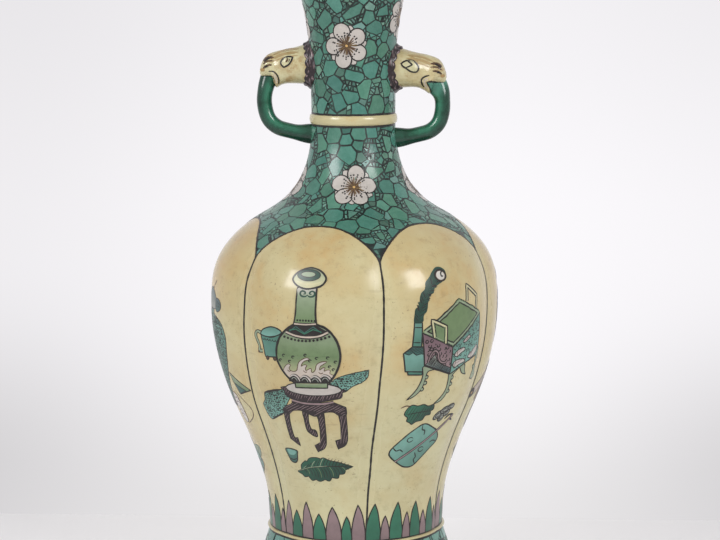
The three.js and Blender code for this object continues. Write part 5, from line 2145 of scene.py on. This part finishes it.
# Painted light on the floor's glow: palest in the middle, with painted shade towards the sides.
def floor_light(recipe):
    return recipe.mix(sideways(recipe, 1.0, 1.0), linear(246, 244, 245), linear(218, 216, 218))


FLOOR_GLOW = 0.6
FLOOR_BACK = 0.16
BEND = 0.5
BEND_STEP = 6
BACKDROP_TOP = 1.6
STAGE_HALF_WIDTH = 2.2


def room():
    """A room that throws soft light, and looks as pale as the paper where no paper stands."""
    recipe = Recipe("room", bpy.data.worlds.new("room"))
    tree = recipe.tree
    light = tree.nodes["Background"]
    light.inputs["Color"].default_value = (1, 1, 1, 1)
    light.inputs["Strength"].default_value = WORLD_LIGHT
    pale = recipe.node("ShaderNodeBackground", values={"Color": PAPER_SHADE})
    shown = recipe.node("ShaderNodeMixShader", values={0: seen_directly(recipe), 2: pale})
    tree.links.new(light.outputs[0], shown.socket.node.inputs[1])
    tree.links.new(shown.socket, tree.nodes["World Output"].inputs["Surface"])
    return recipe.owner


def sheet_of_paper(name, edit, finish):
    """A smooth sheet of the stage, which is no piece of the vase."""
    mesh = bpy.data.meshes.new(name)
    edit.to_mesh(mesh)
    edit.free()
    mesh.shade_smooth()
    mesh.materials.append(finish)
    put(name, mesh)


def stage():
    """A pale floor that bends up into a plain backdrop, both of one sheet of paper."""
    edit = bmesh.new()
    bmesh.ops.create_grid(edit, x_segments=2, y_segments=2, size=1)
    for vert in edit.verts:
        vert.co.x *= STAGE_HALF_WIDTH
        vert.co.y = FLOOR_BACK + FLOOR_DEPTH * (vert.co.y - 1)
        vert.co.z = FLOOR_HEIGHT
    lit = paper("floor", floor_light, FLOOR_GLOW, linear(246, 244, 245))
    sheet_of_paper("floor", edit, lit)
    edit = bmesh.new()
    line = []
    for turn in range(0, 91, BEND_STEP):
        a = math.radians(turn)
        line.append((FLOOR_BACK + BEND * math.sin(a), FLOOR_HEIGHT + BEND * (1 - math.cos(a))))
    line.append((line[-1][0], BACKDROP_TOP))
    bmesh.ops.create_grid(edit, x_segments=1, y_segments=len(line) - 1, size=1)
    for vert in edit.verts:
        index = round((vert.co.y + 1) / 2 * (len(line) - 1))
        vert.co = (vert.co.x * STAGE_HALF_WIDTH, *line[index])
    lit = paper("backdrop", backdrop_light, 1.0, linear(226, 224, 225))
    sheet_of_paper("backdrop", edit, lit)
    bpy.context.scene.world = room()
    soft_box("left_box", -47, 27)
    soft_box("right_box", 47, 26)
    bpy.context.scene.view_settings.view_transform = "Standard"


class VASE_OT_stage(bpy.types.Operator):
    """Set up the camera, the lamps, the floor and the backdrop"""

    bl_idname = "vase.stage"
    bl_label = "Stage"

    def execute(self, context):
        camera()
        stage()
        return {"FINISHED"}


class VASE_OT_walls(bpy.types.Operator):
    """Turn the body, neck, mouth, foot and fillets"""

    bl_idname = "vase.walls"
    bl_label = "Walls"

    def execute(self, context):
        wall = Wall(context.scene.vase_shape)
        body_wall(wall)
        neck_wall(wall)
        foot_wall(wall)
        fillet(wall, "neck_fillet")
        fillet(wall, "foot_fillet")
        return {"FINISHED"}


class VASE_OT_ice(bpy.types.Operator):
    """Lay the cracked ice on neck, shoulder and foot"""

    bl_idname = "vase.ice"
    bl_label = "Cracked ice"

    def execute(self, context):
        wall = Wall(context.scene.vase_shape)
        shoulder_ground(wall)
        ice_pieces(wall)
        return {"FINISHED"}


class VASE_OT_borders(bpy.types.Operator):
    """Paint the blossoms, the panels' lines and the lappets"""

    bl_idname = "vase.borders"
    bl_label = "Blossoms and borders"

    def execute(self, context):
        wall = Wall(context.scene.vase_shape)
        blossoms(wall)
        panel_lines(wall)
        lappets(wall)
        return {"FINISHED"}


class VASE_OT_handles(bpy.types.Operator):
    """Model and paint the two handles: manes, heads and loops"""

    bl_idname = "vase.handles"
    bl_label = "Handles"

    def execute(self, context):
        handles(Wall(context.scene.vase_shape))
        return {"FINISHED"}


class VASE_OT_panels(bpy.types.Operator):
    """Paint the antiques on the panels"""

    bl_idname = "vase.panels"
    bl_label = "Panel paintings"

    def execute(self, context):
        panel_paintings(Wall(context.scene.vase_shape))
        return {"FINISHED"}


STEPS = (VASE_OT_stage, VASE_OT_walls, VASE_OT_ice, VASE_OT_borders, VASE_OT_handles,
         VASE_OT_panels)


class VASE_PT_maker(bpy.types.Panel):
    """The vase's sizes, its colours and the steps that build it"""

    bl_idname = "VASE_PT_maker"
    bl_label = "Baluster vase"
    bl_space_type = "VIEW_3D"
    bl_region_type = "UI"
    bl_category = "Vase"

    def draw(self, context):
        for group in (context.scene.vase_shape, context.scene.vase_palette):
            box = self.layout.box()
            for key in group.__annotations__:
                box.prop(group, key)
        for step in STEPS:
            self.layout.operator(step.bl_idname)


CLASSES = (VaseShape, VasePalette, *STEPS, VASE_PT_maker)


def register():
    for entry in CLASSES:
        bpy.utils.register_class(entry)
    bpy.types.Scene.vase_shape = bpy.props.PointerProperty(type=VaseShape)
    bpy.types.Scene.vase_palette = bpy.props.PointerProperty(type=VasePalette)


def unregister():
    del bpy.types.Scene.vase_palette
    del bpy.types.Scene.vase_shape
    for entry in reversed(CLASSES):
        bpy.utils.unregister_class(entry)


def main():
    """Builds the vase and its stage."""
    register()
    bpy.ops.vase.stage()
    bpy.ops.vase.walls()
    bpy.ops.vase.ice()
    bpy.ops.vase.borders()
    bpy.ops.vase.handles()
    bpy.ops.vase.panels()


if __name__ == "__main__":
    main()
